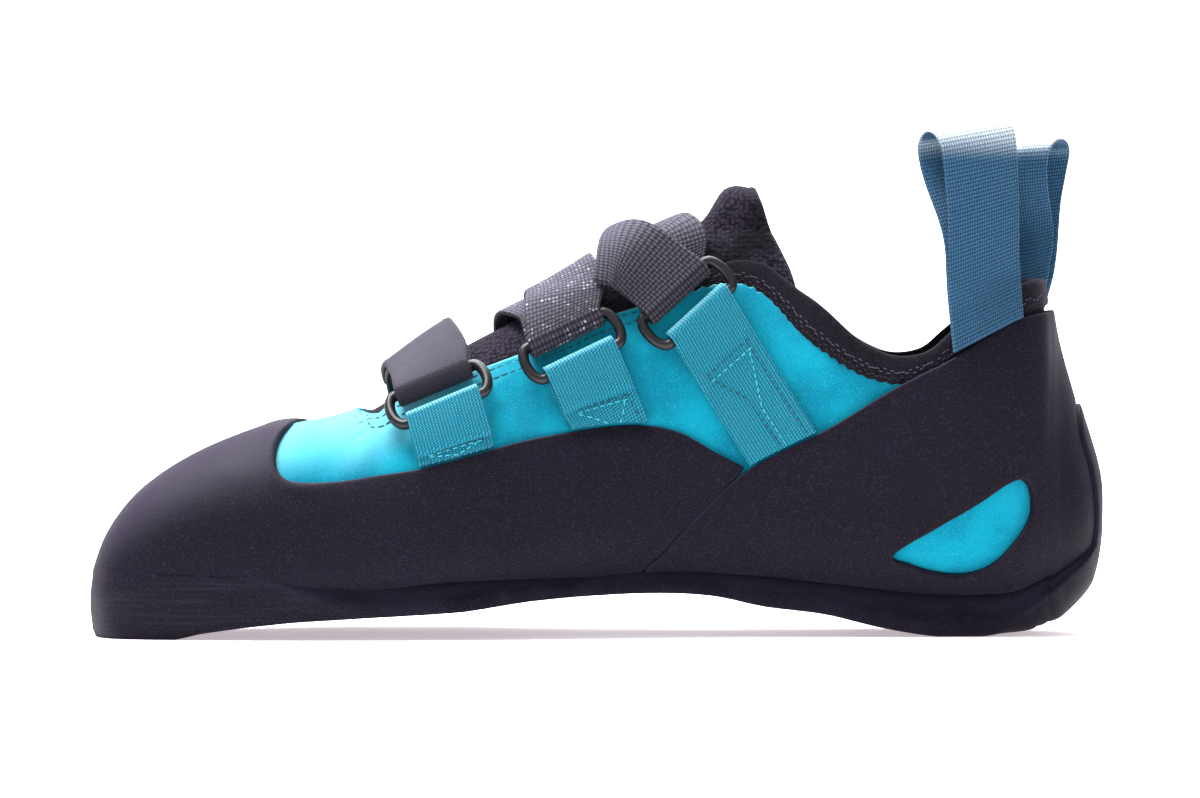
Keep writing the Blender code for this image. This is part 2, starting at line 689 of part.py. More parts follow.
def build_closure(name, closure, last, lines, webbing, teal_tape, satin):
    centre, bar, up, normal = ring_frame(closure, last)
    reach = (RING_HEIGHT - RING_WIRE) / 2

    add_ring(f"ring_{name}", centre, bar, up, reach, satin)

    strap_bottom = UPPER_WALL + LAYER_GAP + STRAP_WALL / 2
    strap_top = strap_bottom + STRAP_WALL + LAYER_GAP
    turn = RING_WIRE / 2 + LAYER_GAP + STRAP_WALL / 2
    upper_bar = centre + up * reach
    legs = {}
    for leg, level, steps in (("under", strap_bottom, 12), ("over", strap_top, 8)):
        path = [last.nearest(upper_bar)[0]] + [last.at_angle(*place) for place in closure[leg]]
        over_bar = RING_WIRE / 2 if leg == "over" else 0.0
        lift = closure["lift"] if leg == "over" else 0.0

        def height(gone, level=level, over_bar=over_bar, lift=lift):
            past = smooth_step(3 * RING_WIRE, 6 * RING_WIRE, gone)
            bridge = smooth_step(3 * RING_WIRE, STRAP_WIDTH, gone) * (1 - smooth_step(1.8, 3.0, gone / STRAP_WIDTH))
            end = smooth_step(0.3 * STRAP_WIDTH, 0.8 * STRAP_WIDTH, gone)
            return level + over_bar * (1 - past) + lift * end + closure["rise"] * bridge

        legs[leg] = leg_rows(last, path, bar, STRAP_WIDTH, height, steps)
    rows = legs["under"][::-1] + fold_rows(upper_bar, bar, -up, normal, turn, STRAP_WIDTH) + legs["over"]
    tape(f"strap_{name}", rows, STRAP_WALL, webbing)

    tape_bottom = UPPER_WALL + LAYER_GAP + TAPE_WALL / 2
    tape_top = tape_bottom + TAPE_WALL + LAYER_GAP
    turn = RING_WIRE / 2 + LAYER_GAP + TAPE_WALL / 2
    lower_bar = centre - up * reach
    legs = {}
    for leg, near_bar, level in (("under", tape_bottom, tape_bottom), ("over", tape_top + RING_WIRE / 2, tape_top)):
        legs[leg] = keeper_rows(last, lines, closure, lower_bar, bar, near_bar, level)
    rows = legs["under"][::-1] + fold_rows(lower_bar, bar, up, normal, turn, TAPE_WIDTH) + legs["over"]
    tape(f"ring_tab_{name}", rows, TAPE_WALL, teal_tape)


def keeper_rows(last, lines, closure, lower_bar, bar, near_bar, level, steps=4):
    """Rows of a ring's keeper tape, from near the bar down to the edge of the rubber."""
    foot, _ = last.from_side(*closure["foot"], -1)
    start = last.nearest(lower_bar)[0]
    down = (foot - start).normalized()
    columns = []
    for j in (-1, 0, 1):
        first = start + bar * (TAPE_WIDTH / 2 * j) + down * (3 * RING_WIRE)
        low, high = 0.0, 0.06
        for _ in range(24):
            middle = (low + high) / 2
            spot = last.nearest(first + down * middle)[0]
            if max(lines["rand_inner"].distance(spot), lines["sling"].distance(spot)) < -2 * FIT_GAP:
                low = middle
            else:
                high = middle
        column = []
        for i in range(steps):
            place, out = last.nearest(first + down * (low * i / (steps - 1)))
            column.append(place + out * (level if i else near_bar))
        columns.append(column)
    return [list(row) for row in zip(*columns)]


def add_ring(name, centre, bar, up, reach, finish):
    """A ring of round wire with two straight bars and round ends."""
    straight = max(STRAP_WIDTH, TAPE_WIDTH) / 2 + FIT_GAP
    end_reach = RING_LENGTH / 2 - RING_WIRE / 2 - straight
    points = []
    for end in (1, -1):
        for i in range(7):
            angle = math.pi * (i / 6 - 0.5)
            along = straight + math.cos(angle) * end_reach
            points.append(centre + (bar * along + up * (math.sin(angle) * reach)) * end)
    curve = bpy.data.curves.new(name, "CURVE")
    curve.dimensions = "3D"
    spline = curve.splines.new("POLY")
    spline.points.add(len(points) - 1)
    for spot, point in zip(spline.points, points):
        spot.co = (*point, 1.0)
    spline.use_cyclic_u = True
    curve.bevel_depth = RING_WIRE / 2
    curve.bevel_resolution = 2
    curve.materials.append(finish)
    obj = bpy.data.objects.new(name, curve)
    bpy.data.collections[COLLECTION].objects.link(obj)
    return obj


def build_pull_loop(name, loop, last, finish):
    """A loop of tape that stands on the collar: up on its outer side, over and down again next to the collar."""
    side = loop["side"]
    (base_front, base_rear), (top_front, top_rear) = loop["base"], loop["top"]
    near = BINDING_WALL + LAYER_GAP + LOOP_WALL / 2
    far = near + LOOP_WALL + LAYER_GAP
    turn_at = 0.90

    def beside(across, rise, depth):
        """A point beside the collar, at a share of the way across the tape and of the way up."""
        base = [base_front[k] + (base_rear[k] - base_front[k]) * across for k in (0, 1)]
        top = [top_front[k] + (top_rear[k] - top_front[k]) * across for k in (0, 1)]
        along, up = (base[k] + (top[k] - base[k]) * rise for k in (0, 1))
        collar, normal = last.from_side(min(along, 0.918), min(up, 0.86), side)
        out = Vector((normal.x, normal.y, 0)).normalized()
        turned = Vector((math.sin(LOOP_TURN), side * math.cos(LOOP_TURN), 0))
        out = out.lerp(turned, smooth_step(0.20, 0.70, rise)).normalized()
        spot = Vector((side_x(along), collar.y, up * INSTEP_HEIGHT)) + out * (depth / normal.dot(out))
        if depth >= near:
            place, normal = last.nearest(spot)
            spot += normal * max(0.0, depth - (spot - place).dot(normal))
        return spot

    rows = []
    shares = (0.0, 0.4, 0.75, 1.0)
    for i in range(6):
        rows.append([beside(across, turn_at * i / 5, far) for across in shares])
    for i in range(1, 5):
        angle = math.pi * i / 5
        depth = far - LOOP_DEPTH / 2 * (1 - math.cos(angle))
        rise = turn_at + (1 - turn_at) * math.sin(angle)
        rows.append([beside(across, rise, depth) for across in shares])
    for i in range(6):
        share = i / 5
        depth = far - LOOP_DEPTH + (near - far + LOOP_DEPTH) * smooth_step(0, 0.55, share)
        rows.append([beside(across, turn_at * (1 - share), depth) for across in shares])
    tape(f"pull_loop_{name}", rows, LOOP_WALL, finish)


main()
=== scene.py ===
# A right climbing shoe: the finish of every piece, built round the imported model.
# Object Factory frame: toe at -X, inner side of the foot at -Y, +Z up, metres.

import math

import bpy
import numpy as np
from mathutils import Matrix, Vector
from mathutils.bvhtree import BVHTree
from mathutils.interpolate import poly_3d_calc


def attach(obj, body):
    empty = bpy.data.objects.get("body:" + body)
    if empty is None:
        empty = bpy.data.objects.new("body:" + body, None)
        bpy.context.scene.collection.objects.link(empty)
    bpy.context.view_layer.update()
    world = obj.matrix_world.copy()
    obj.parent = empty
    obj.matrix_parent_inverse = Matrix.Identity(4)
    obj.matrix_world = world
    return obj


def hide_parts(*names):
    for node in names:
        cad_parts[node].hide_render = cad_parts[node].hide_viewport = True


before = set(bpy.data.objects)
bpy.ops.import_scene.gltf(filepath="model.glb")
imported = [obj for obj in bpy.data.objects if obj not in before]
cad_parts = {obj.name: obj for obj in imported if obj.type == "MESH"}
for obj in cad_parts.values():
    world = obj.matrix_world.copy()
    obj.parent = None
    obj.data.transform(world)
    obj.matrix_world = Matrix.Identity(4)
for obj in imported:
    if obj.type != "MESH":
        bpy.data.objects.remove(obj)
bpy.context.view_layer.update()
print("frame loaded:", len(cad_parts), "nodes")

mm = 0.001

# Camera at the photograph's angle: from the inner side, a little above the floor, with a long lens
cameraView = {"pixel": 0.2407 * mm, "frameWidth": 1200, "distance": 2.6, "elevation": 1.3, "closer": 1.007,
              "aim": (-0.0002, -0.036, 0.0575)}


def placeCamera():
    view = cameraView
    tilt = math.radians(view["elevation"])
    camera = bpy.data.cameras.new("photoCamera")
    camera.sensor_width = 36
    camera.lens = 36 * view["closer"] * view["distance"] / (view["pixel"] * view["frameWidth"])
    camera.clip_start = 0.05
    holder = bpy.data.objects.new("photoCamera", camera)
    holder.location = Vector(view["aim"]) + Vector((0, -math.cos(tilt), math.sin(tilt))) * view["distance"]
    holder.rotation_euler = (math.pi / 2 - tilt, 0, 0)
    bpy.context.scene.collection.objects.link(holder)
    bpy.context.scene.camera = holder


placeCamera()
print("camera placed")

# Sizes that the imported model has, in metres
shoe = {"lastLength": 236.2 * mm, "ballWidth": 82 * mm, "instep": 100 * mm, "upperWall": 1.8 * mm,
        "lastingMargin": 12 * mm, "bindingWall": 3.0 * mm, "tongueWall": 3.2 * mm, "tongueRoll": 5.8 * mm,
        "randWall": 1.6 * mm, "slingWall": 2.0 * mm, "rimWall": 2.2 * mm, "soleWall": 4.2 * mm,
        "heelCapWall": 2.9 * mm, "insoleWall": 2.0 * mm, "gap": 0.3 * mm, "layerGap": 0.6 * mm,
        "tapeWidth": 18.5 * mm, "tapeWall": 0.8 * mm, "strapWidth": 19 * mm, "strapWall": 1.2 * mm,
        "ringWire": 2.6 * mm, "ringLength": 27 * mm, "ringHeight": 11.8 * mm,
        "loopWall": 1.0 * mm, "loopDepth": 10 * mm, "heelCorner": 0.8 * mm, "strapRise": 2.5 * mm,
        "loopTurn": 0.50}
overUpper = shoe["upperWall"] + shoe["gap"]
rimOuter = overUpper + shoe["rimWall"]
soleDepth = overUpper + shoe["soleWall"]
heelOuter = overUpper + shoe["heelCapWall"]
shoeLength = shoe["lastLength"] + rimOuter + heelOuter
toeX = rimOuter - shoeLength / 2
offTop = 1.6

# Sections of the last, toe to heel: share of its length, inner, outer and crest across (shares of the ball's
# width), bottom, widest and top heights (shares of the instep), squareness below and above, and stations
sectionColumns = ("along", "inner", "outer", "crest", "bottom", "widest", "top", "low", "up", "steps")
lastSections = [
    (0.000, -0.268, -0.268, -0.268, 0.069, 0.110, 0.155, 2.6, 2.2, 1),
    (0.014, -0.402, -0.110, -0.262, 0.063, 0.130, 0.240, 3.0, 2.2, 1),
    (0.046, -0.457, 0.024, -0.256, 0.062, 0.150, 0.333, 3.2, 2.2, 1),
    (0.101, -0.488, 0.201, -0.232, 0.080, 0.170, 0.416, 3.4, 2.2, 2),
    (0.177, -0.506, 0.366, -0.195, 0.102, 0.190, 0.485, 3.4, 2.1, 2),
    (0.262, -0.509, 0.470, -0.159, 0.114, 0.210, 0.540, 3.4, 2.0, 2),
    (0.355, -0.494, 0.502, -0.128, 0.120, 0.230, 0.690, 3.2, 1.9, 2),
    (0.456, -0.415, 0.476, -0.098, 0.138, 0.270, 0.812, 3.0, 2.0, 2),
    (0.558, -0.341, 0.415, -0.061, 0.146, 0.310, 0.955, 2.8, 2.1, 2),
    (0.651, -0.317, 0.366, -0.037, 0.122, 0.330, 1.030, 2.7, 2.3, 2),
    (0.744, -0.317, 0.335, -0.012, 0.095, 0.320, 1.060, 2.7, 2.6, 2),
    (0.837, -0.323, 0.323, 0.000, 0.067, 0.310, 1.045, 2.7, 2.6, 2),
    (0.909, -0.299, 0.299, 0.000, 0.061, 0.310, 1.020, 2.6, 2.2, 2),
    (0.936, -0.264, 0.264, 0.000, 0.083, 0.310, 0.985, 2.5, 2.1, 1),
    (0.946, -0.246, 0.246, 0.000, 0.093, 0.310, 0.830, 2.4, 1.9, 1),
    (0.957, -0.222, 0.222, 0.000, 0.105, 0.310, 0.680, 2.4, 1.8, 2),
    (0.985, -0.150, 0.150, 0.000, 0.170, 0.305, 0.455, 2.2, 1.9, 1),
    (1.000, 0.000, 0.000, 0.000, 0.270, 0.305, 0.345, 2.0, 2.0, 0),
]

# Lines seen from the side: share of the shoe's length from the toe, and share of the instep's height
soleLine = [
    (0.000, -0.003), (0.050, -0.004), (0.085, 0.000), (0.110, 0.014), (0.150, 0.028), (0.200, 0.041),
    (0.270, 0.052), (0.365, 0.066), (0.430, 0.089), (0.500, 0.102), (0.560, 0.106), (0.610, 0.098),
    (0.660, 0.072), (0.720, 0.053), (0.775, 0.021), (0.830, 0.000), (0.860, -0.004), (0.900, -0.003),
    (1.000, 0.000),
]

soleEdge = [
    (-0.05, 0.160), (0.00, 0.166), (0.10, 0.155), (0.22, 0.150), (0.28, 0.146), (0.36, 0.152), (0.45, 0.160),
    (0.54, 0.163), (0.62, 0.156), (0.69, 0.139), (0.75, 0.115), (0.80, 0.075), (0.845, 0.050), (0.890, 0.052),
    (0.928, 0.092), (0.954, 0.150), (0.968, 0.225), (0.971, 0.300), (0.966, 0.390), (0.957, 0.470),
    (0.954, 0.550), (0.958, 0.588), (0.966, 0.600), (0.985, 0.600), (1.05, 0.600),
]

randEdgeInner = [
    (0.228, offTop), (0.224, 0.560), (0.214, 0.525), (0.199, 0.488), (0.188, 0.450), (0.185, 0.408),
    (0.191, 0.374), (0.208, 0.361), (0.245, 0.364), (0.285, 0.380), (0.330, 0.400), (0.375, 0.432),
    (0.420, 0.466), (0.465, 0.489), (0.505, 0.505), (0.540, 0.508), (0.575, 0.492), (0.610, 0.446),
    (0.645, 0.400), (0.672, 0.340),
]

randEdgeOuter = [
    (0.228, offTop), (0.226, 0.560), (0.220, 0.520), (0.215, 0.470), (0.216, 0.420), (0.224, 0.372),
    (0.245, 0.345), (0.285, 0.335), (0.340, 0.340), (0.400, 0.352), (0.460, 0.368), (0.510, 0.378),
    (0.560, 0.380), (0.605, 0.368), (0.645, 0.345),
]

slingTop = [
    (0.500, 0.060), (0.538, 0.183), (0.560, 0.224), (0.599, 0.308), (0.645, 0.405), (0.720, 0.498),
    (0.790, 0.600), (0.840, 0.663), (0.880, 0.722), (0.913, 0.765), (0.943, 0.783), (0.970, 0.785),
    (1.05, 0.785),
]

heelWindow = [
    (0.786, 0.207), (0.825, 0.262), (0.865, 0.318), (0.896, 0.370), (0.907, 0.378), (0.914, 0.352),
    (0.915, 0.300), (0.903, 0.240), (0.882, 0.186), (0.855, 0.164), (0.825, 0.170), (0.803, 0.186),
]

upperEdge = [
    (0.262, offTop), (0.262, 0.590), (0.264, 0.552), (0.271, 0.530), (0.285, 0.528), (0.297, 0.549),
    (0.344, 0.597), (0.392, 0.645), (0.423, 0.674), (0.462, 0.717), (0.498, 0.758), (0.540, 0.792),
    (0.584, 0.828), (0.612, 0.846), (0.640, 0.848), (0.661, 0.823), (0.678, 0.785), (0.696, 0.737),
    (0.721, 0.690), (0.756, 0.637), (0.791, 0.616), (0.818, 0.632), (0.845, 0.681), (0.880, 0.740),
    (0.920, 0.790), (0.960, 0.808), (1.05, 0.808),
]

collarTop = [
    (0.440, 0.560), (0.470, 0.660), (0.500, 0.770), (0.520, 0.805), (0.560, 0.838), (0.600, 0.875),
    (0.630, 0.903), (0.659, 0.897), (0.677, 0.867), (0.697, 0.826), (0.719, 0.787), (0.747, 0.724),
    (0.767, 0.693), (0.786, 0.676), (0.805, 0.676), (0.822, 0.690), (0.840, 0.729), (0.869, 0.785),
    (0.899, 0.831), (0.923, 0.856), (0.943, 0.862), (0.960, 0.855), (1.05, 0.850),
]

tongueSide = [
    (0.236, 0.640), (0.243, 0.500), (0.270, 0.455), (0.330, 0.490), (0.400, 0.560), (0.470, 0.640),
    (0.540, 0.710), (0.600, 0.760), (0.650, 0.780), (0.690, 0.800), (0.688, 0.870), (0.674, 0.950),
    (0.662, 1.010), (0.655, 1.060), (0.650, 1.200), (0.450, 1.300), (0.260, 0.900),
]

# How fine the shells are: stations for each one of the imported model's, points round each section, and the
# distances inside an edge, as shares of its rounding, at which the triangles are split
fineness = {"stations": 8, "around": 168, "edgeSplits": (0.12, 0.42, 1.0)}


def smoothStep(low, high, value):
    share = np.clip((np.asarray(value, float) - low) / (high - low), 0, 1)
    return share * share * (3 - 2 * share)


def catmull(before, start, end, after, t):
    return 0.5 * (2 * start + (end - before) * t + (2 * before - 5 * start + 4 * end - after) * t * t
                  + (3 * start - before - 3 * end + after) * t ** 3)


def mirrored(row):
    swap = list(row)
    swap[1], swap[2] = swap[2], swap[1]
    return swap


sectionRows = np.array([mirrored(lastSections[1])] + [list(row) for row in lastSections]
                       + [mirrored(lastSections[-2])])


def sectionsAt(shares):
    """Named sizes of the sections at these shares of the way through the table, in metres."""
    place = np.clip(np.asarray(shares, float), 0, 1) * (len(lastSections) - 1)
    first = np.minimum(place.astype(int), len(lastSections) - 2)
    t = (place - first)[:, None]
    rows = catmull(*(sectionRows[first + k] for k in range(4)), t)
    cut = {name: rows[:, i].copy() for i, name in enumerate(sectionColumns)}
    cut["x"] = toeX + cut["along"] * shoe["lastLength"]
    for name in ("inner", "outer", "crest"):
        cut[name] *= shoe["ballWidth"]
    for name in ("bottom", "widest", "top"):
        cut[name] *= shoe["instep"]
    return cut


def lastPoints(cut, angle):
    across, up = -np.sin(angle), -np.cos(angle)
    power = np.where(up < 0, cut["low"], cut["up"])
    reach = (np.abs(across) ** power + np.abs(up) ** power) ** (-1 / power)
    side = np.where(across < 0, cut["inner"], cut["outer"])
    height = np.where(up > 0, cut["top"] - cut["widest"], cut["widest"] - cut["bottom"])
    y = cut["crest"] + (side - cut["crest"]) * np.abs(across) * reach
    return np.stack([cut["x"] + 0 * y, y, cut["widest"] + height * up * reach], -1)


class FineLast:
    """The last as a fine closed mesh, with its normals and what each point needs to know of its section."""

    def __init__(self, stations, around):
        counts = [row[-1] * stations for row in lastSections]
        shares = [(i + step / count) / (len(lastSections) - 1) for i, count in enumerate(counts)
                  for step in range(count)] + [1.0]
        rings = len(shares)
        cut = sectionsAt(np.repeat(shares, around))
        angle = np.tile(2 * math.pi * np.arange(around) / around, rings)
        grid = lastPoints(cut, angle)
        self.cut = cut
        index = np.arange(rings * around).reshape(rings, around)
        for i in (0, rings - 1):
            for j in range(around // 2 + 1, around):
                index[i, j] = index[i, around - j]
        a, b = index[:-1], np.roll(index, -1, 1)[:-1]
        c, d = np.roll(index, -1, 1)[1:], index[1:]
        faces = np.concatenate([np.stack([a, c, b], -1).reshape(-1, 3), np.stack([a, d, c], -1).reshape(-1, 3)])
        keep = (faces[:, 0] != faces[:, 1]) & (faces[:, 1] != faces[:, 2]) & (faces[:, 2] != faces[:, 0])
        self.faces = faces[keep]
        self.points = grid
        cross = np.cross(grid[self.faces[:, 1]] - grid[self.faces[:, 0]],
                         grid[self.faces[:, 2]] - grid[self.faces[:, 0]])
        normals = np.zeros_like(grid)
        for k in range(3):
            np.add.at(normals, self.faces[:, k], cross)
        size = np.linalg.norm(normals, axis=1, keepdims=True)
        self.normals = normals / np.maximum(size, 1e-12)
        self.tree = BVHTree.FromPolygons([Vector(p) for p in grid], [tuple(f) for f in self.faces.tolist()])

    def smoothNormal(self, spot, face):
        corners = self.faces[face]
        weights = poly_3d_calc([Vector(self.points[c]) for c in corners], spot)
        total = Vector()
        for corner, weight in zip(corners, weights):
            total += Vector(self.normals[corner]) * weight
        return total.normalized()

    def nearest(self, spot):
        place, _, face, _ = self.tree.find_nearest(spot)
        return place, self.smoothNormal(place, face)

    def fromSide(self, along, up, side):
        """The point seen at this place from the inner (-1) or outer (1) side, and its normal."""
        origin = Vector((sideX(along), side * 0.2, up * shoe["instep"]))
        place, _, face, _ = self.tree.ray_cast(origin, Vector((0, -side, 0)))
        return place, self.smoothNormal(place, face)

    def atAngle(self, along, degrees):
        low, high = 0.0, 1.0
        for _ in range(30):
            middle = (low + high) / 2
            if sectionsAt([middle])["x"][0] < sideX(along):
                low = middle
            else:
                high = middle
        cut = sectionsAt([low])
        return self.nearest(Vector(lastPoints(cut, np.radians([degrees]))[0]))[0]


def sideX(along):
    return toeX - rimOuter + along * shoeLength


def sampled(outline, closed, steps=8):
    points = [(sideX(along), up * shoe["instep"]) for along, up in outline]
    count = len(points)
    made = []
    for i in range(count if closed else count - 1):
        near = [points[(i + k) % count] if closed else points[min(max(i + k, 0), count - 1)]
                for k in (-1, 0, 1, 2)]
        for step in range(steps):
            made.append(tuple(catmull(*(p[axis] for p in near), step / steps) for axis in (0, 1)))
    return made if closed else made + [points[-1]]


class SideLine:
    """A line seen from the side. Distances are positive under it or, if it is closed, inside it."""

    def __init__(self, rows, closed=False):
        self.line = sampled(rows, closed)
        self.closed = closed
        ring = list(self.line)
        if not closed:
            left, right, room = self.line[0], self.line[-1], shoeLength
            ring += [(right[0] + room, right[1]), (right[0] + room, -room), (left[0] - room, -room),
                     (left[0] - room, left[1])]
        self.ring = ring

    def distance(self, x, z):
        x, z = np.asarray(x, float), np.asarray(z, float)
        ends = self.line[1:] + (self.line[:1] if self.closed else [])
        away = np.full(x.shape, shoeLength)
        for (ax, az), (bx, bz) in zip(self.line, ends):
            dx, dz = bx - ax, bz - az
            size = max(dx * dx + dz * dz, 1e-18)
            share = np.clip(((x - ax) * dx + (z - az) * dz) / size, 0, 1)
            away = np.minimum(away, (x - ax - share * dx) ** 2 + (z - az - share * dz) ** 2)
        away = np.sqrt(np.minimum(away, shoeLength))
        hit = np.zeros(x.shape, bool)
        for (ax, az), (bx, bz) in zip(self.ring, self.ring[1:] + self.ring[:1]):
            if az != bz:
                hit ^= ((az > z) != (bz > z)) & (x < ax + (z - az) / (bz - az) * (bx - ax))
        return np.where(hit, away, -away)


def soleHeights(x):
    points = np.array([(sideX(along), up * shoe["instep"]) for along, up in soleLine])
    x = np.clip(x, points[0, 0], points[-1, 0] - 1e-9)
    i = np.clip(np.searchsorted(points[:, 0], x, side="left") - 1, 0, len(points) - 2)
    t = (x - points[i, 0]) / (points[i + 1, 0] - points[i, 0])
    before, after = np.maximum(i - 1, 0), np.minimum(i + 2, len(points) - 1)
    return np.maximum(0, catmull(points[before, 1], points[i, 1], points[i + 1, 1], points[after, 1], t))


last = FineLast(fineness["stations"], fineness["around"])
lines = {"sole": SideLine(soleEdge), "randInner": SideLine(randEdgeInner), "randOuter": SideLine(randEdgeOuter),
         "sling": SideLine(slingTop), "window": SideLine(heelWindow, True), "upper": SideLine(upperEdge),
         "collar": SideLine(collarTop), "tongue": SideLine(tongueSide, True)}
print("last built:", len(last.points), "points")


def fromEdge(share):
    """How far each point under the foot is inside this share of the foot's half width, less than 0 elsewhere."""
    cut = last.cut
    y, z = last.points[:, 1], last.points[:, 2]
    side = np.where(y < cut["crest"], cut["inner"], cut["outer"])
    half = np.abs(side - cut["crest"])
    off = np.abs(y - cut["crest"])
    return share * half - np.where(z < cut["widest"], off, 2 * half - off)


def lineField(name):
    return lines[name].distance(last.points[:, 0], last.points[:, 2])


def makeMesh(name, points, faces, finish, uv=None, smoothAngle=None):
    mesh = bpy.data.meshes.new(name)
    mesh.from_pydata([tuple(p) for p in points], [], [tuple(f) for f in faces])
    if finish:
        mesh.materials.append(finish)
    mesh.shade_smooth()
    if smoothAngle:
        mesh.set_sharp_from_angle(angle=math.radians(smoothAngle))
    if uv is not None:
        layer = mesh.uv_layers.new(name="weave")
        corners = np.zeros(len(mesh.loops), np.int32)
        mesh.loops.foreach_get("vertex_index", corners)
        layer.data.foreach_set("uv", np.asarray(uv, np.float32)[corners].ravel())
    obj = bpy.data.objects.new(name, mesh)
    bpy.context.scene.collection.objects.link(obj)
    return obj


def addAttribute(obj, name, values):
    layer = obj.data.attributes.new(name, "FLOAT", "POINT")
    layer.data.foreach_set("value", np.asarray(values, np.float32))


def splitLevel(faces, field, level, keepBelow, arrays):
    """Splits triangles along field == level. Faces below it are dropped unless keepBelow."""
    f = field[faces] - level
    f[np.abs(f) < 0.03 * mm] = 0
    above, below = (f >= 0).all(1) & (f > 0).any(1), (f <= 0).all(1)
    mixed = faces[~above & ~below]
    mixedValues = f[~above & ~below]
    made, lowFaces, halves = [], [], {}
    extra = {name: [] for name in arrays}
    extraField = []
    count = len(field)

    def crossing(a, b, va, vb):
        key = (a, b) if a < b else (b, a)
        if key not in halves:
            share = va / (va - vb)
            for name, values in arrays.items():
                extra[name].append(values[a] + (values[b] - values[a]) * share)
            extraField.append(level)
            halves[key] = count + len(extraField) - 1
        return halves[key]

    for corners, values in zip(mixed.tolist(), mixedValues.tolist()):
        top, low = [], []
        for k in range(3):
            a, b = corners[k], corners[(k + 1) % 3]
            va, vb = values[k], values[(k + 1) % 3]
            if va >= 0:
                top.append(a)
            if va <= 0:
                low.append(a)
            if va * vb < 0:
                middle = crossing(a, b, va, vb)
                top.append(middle)
                low.append(middle)
        for i in range(1, len(top) - 1):
            made.append((top[0], top[i], top[i + 1]))
        if keepBelow:
            for i in range(1, len(low) - 1):
                lowFaces.append((low[0], low[i], low[i + 1]))
    parts = [faces[above], np.array(made, int).reshape(-1, 3)]
    if keepBelow:
        parts += [faces[below], np.array(lowFaces, int).reshape(-1, 3)]
    if extraField:
        arrays = {name: np.concatenate([values, np.array(extra[name])]) for name, values in arrays.items()}
        field = np.concatenate([field, extraField])
    return np.concatenate(parts), field, arrays


def largestPatch(faces):
    """The faces that hang together with most of the others, so that no crumbs are left along an edge."""
    parent = np.arange(faces.max() + 1)
    while True:
        low = parent[faces].min(1)
        before = parent.copy()
        for k in range(3):
            np.minimum.at(parent, faces[:, k], low)
        parent = parent[parent]
        if (parent == before).all():
            break
    labels = parent[faces[:, 0]]
    names, counts = np.unique(labels, return_counts=True)
    return faces[labels == names[counts.argmax()]]


def shellPiece(name, field, inner, outer, finish, rounding, extras=None, lip=None):
    """A closed piece over the part of the last where field is above 0, between the offsets inner and outer.

    Its outer edge is rounded over the distance rounding. extras are further values kept as attributes. lip is a
    function of (distance, points) that gives extra height."""
    low, high = inner(last), outer(last)
    arrays = {"spot": last.points, "low": low, "high": high, "normal": last.normals}
    for key, values in (extras or {}).items():
        arrays["x_" + key] = values
    faces, field, arrays = splitLevel(last.faces, field.copy(), 0.0, False, arrays)
    for share in fineness["edgeSplits"]:
        faces, field, arrays = splitLevel(faces, field, share * rounding, True, arrays)
    faces = largestPatch(faces)
    used = np.unique(faces)
    order = np.full(len(field), -1)
    order[used] = np.arange(len(used))
    faces = order[faces]
    field = field[used]
    arrays = {key: values[used] for key, values in arrays.items()}
    inside = np.clip(field / rounding, 0, 1)
    profile = np.sqrt(np.maximum(0, 1 - (1 - inside) ** 2))
    drop = np.linalg.norm(arrays["high"] - arrays["low"], axis=1)
    share = 1 - (1 - profile) * np.minimum(1, rounding / np.maximum(drop, 1e-9)) * 0.98
    top = arrays["low"] + (arrays["high"] - arrays["low"]) * share[:, None]
    if lip is not None:
        top = top + arrays["normal"] * (lip(field, arrays["spot"]))[:, None]
    count = len(used)
    edges = np.concatenate([faces[:, [0, 1]], faces[:, [1, 2]], faces[:, [2, 0]]])
    keys = set(map(tuple, edges.tolist()))
    rim = [(a, b) for a, b in keys if (b, a) not in keys]
    skin = [tuple(face) for face in faces.tolist()]
    skin += [(count + c, count + b, count + a) for a, b, c in faces.tolist()]
    skin += [(b, a, count + a, count + b) for a, b in rim]
    obj = makeMesh(name, np.concatenate([top, arrays["low"]]), skin, finish)
    for key in (extras or {}):
        addAttribute(obj, key, np.tile(arrays["x_" + key], 2))
    addAttribute(obj, "edge", np.concatenate([field, np.zeros(count)]) / mm)
    return obj


def offsetBy(depth):
    return lambda grid: grid.points + grid.normals * (depth[:, None] if hasattr(depth, "shape") else depth)


def linear(hexColour):
    """An sRGB hex colour as a linear RGBA tuple."""
    parts = [int(hexColour[i:i + 2], 16) / 255 for i in (0, 2, 4)]
    return (*(c / 12.92 if c <= 0.04045 else ((c + 0.055) / 1.055) ** 2.4 for c in parts), 1.0)


# A material's nodes are made with these few functions
def newFinish(name, colour, roughness, sheen=0.0, sheenColour="ffffff", metallic=0.0, specular=0.5):
    finish = bpy.data.materials.new(name)
    finish.use_nodes = True
    finish.diffuse_color = linear(colour)
    shader = finish.node_tree.nodes["Principled BSDF"]
    for key, value in (("Base Color", linear(colour)), ("Roughness", roughness), ("Metallic", metallic),
                       ("Sheen Weight", sheen), ("Sheen Tint", linear(sheenColour)),
                       ("Specular IOR Level", specular)):
        shader.inputs[key].default_value = value
    return finish


def node(finish, kind, links=None, **settings):
    """Adds one node. links gives its inputs, as sockets to join or as plain values."""
    tree = finish.node_tree
    made = tree.nodes.new("ShaderNode" + kind)
    for key, value in settings.items():
        setattr(made, key, value)
    for key, value in (links or {}).items():
        if isinstance(value, bpy.types.NodeSocket):
            tree.links.new(value, made.inputs[key])
        else:
            made.inputs[key].default_value = value
    return made


def maths(finish, operation, a, b=0.0):
    return node(finish, "Math", {0: a, 1: b}, operation=operation).outputs[0]


def ranged(finish, value, low, high, toLow=0.0, toHigh=1.0):
    links = {"Value": value, "From Min": low, "From Max": high, "To Min": toLow, "To Max": toHigh}
    return node(finish, "MapRange", links, interpolation_type="SMOOTHSTEP").outputs[0]


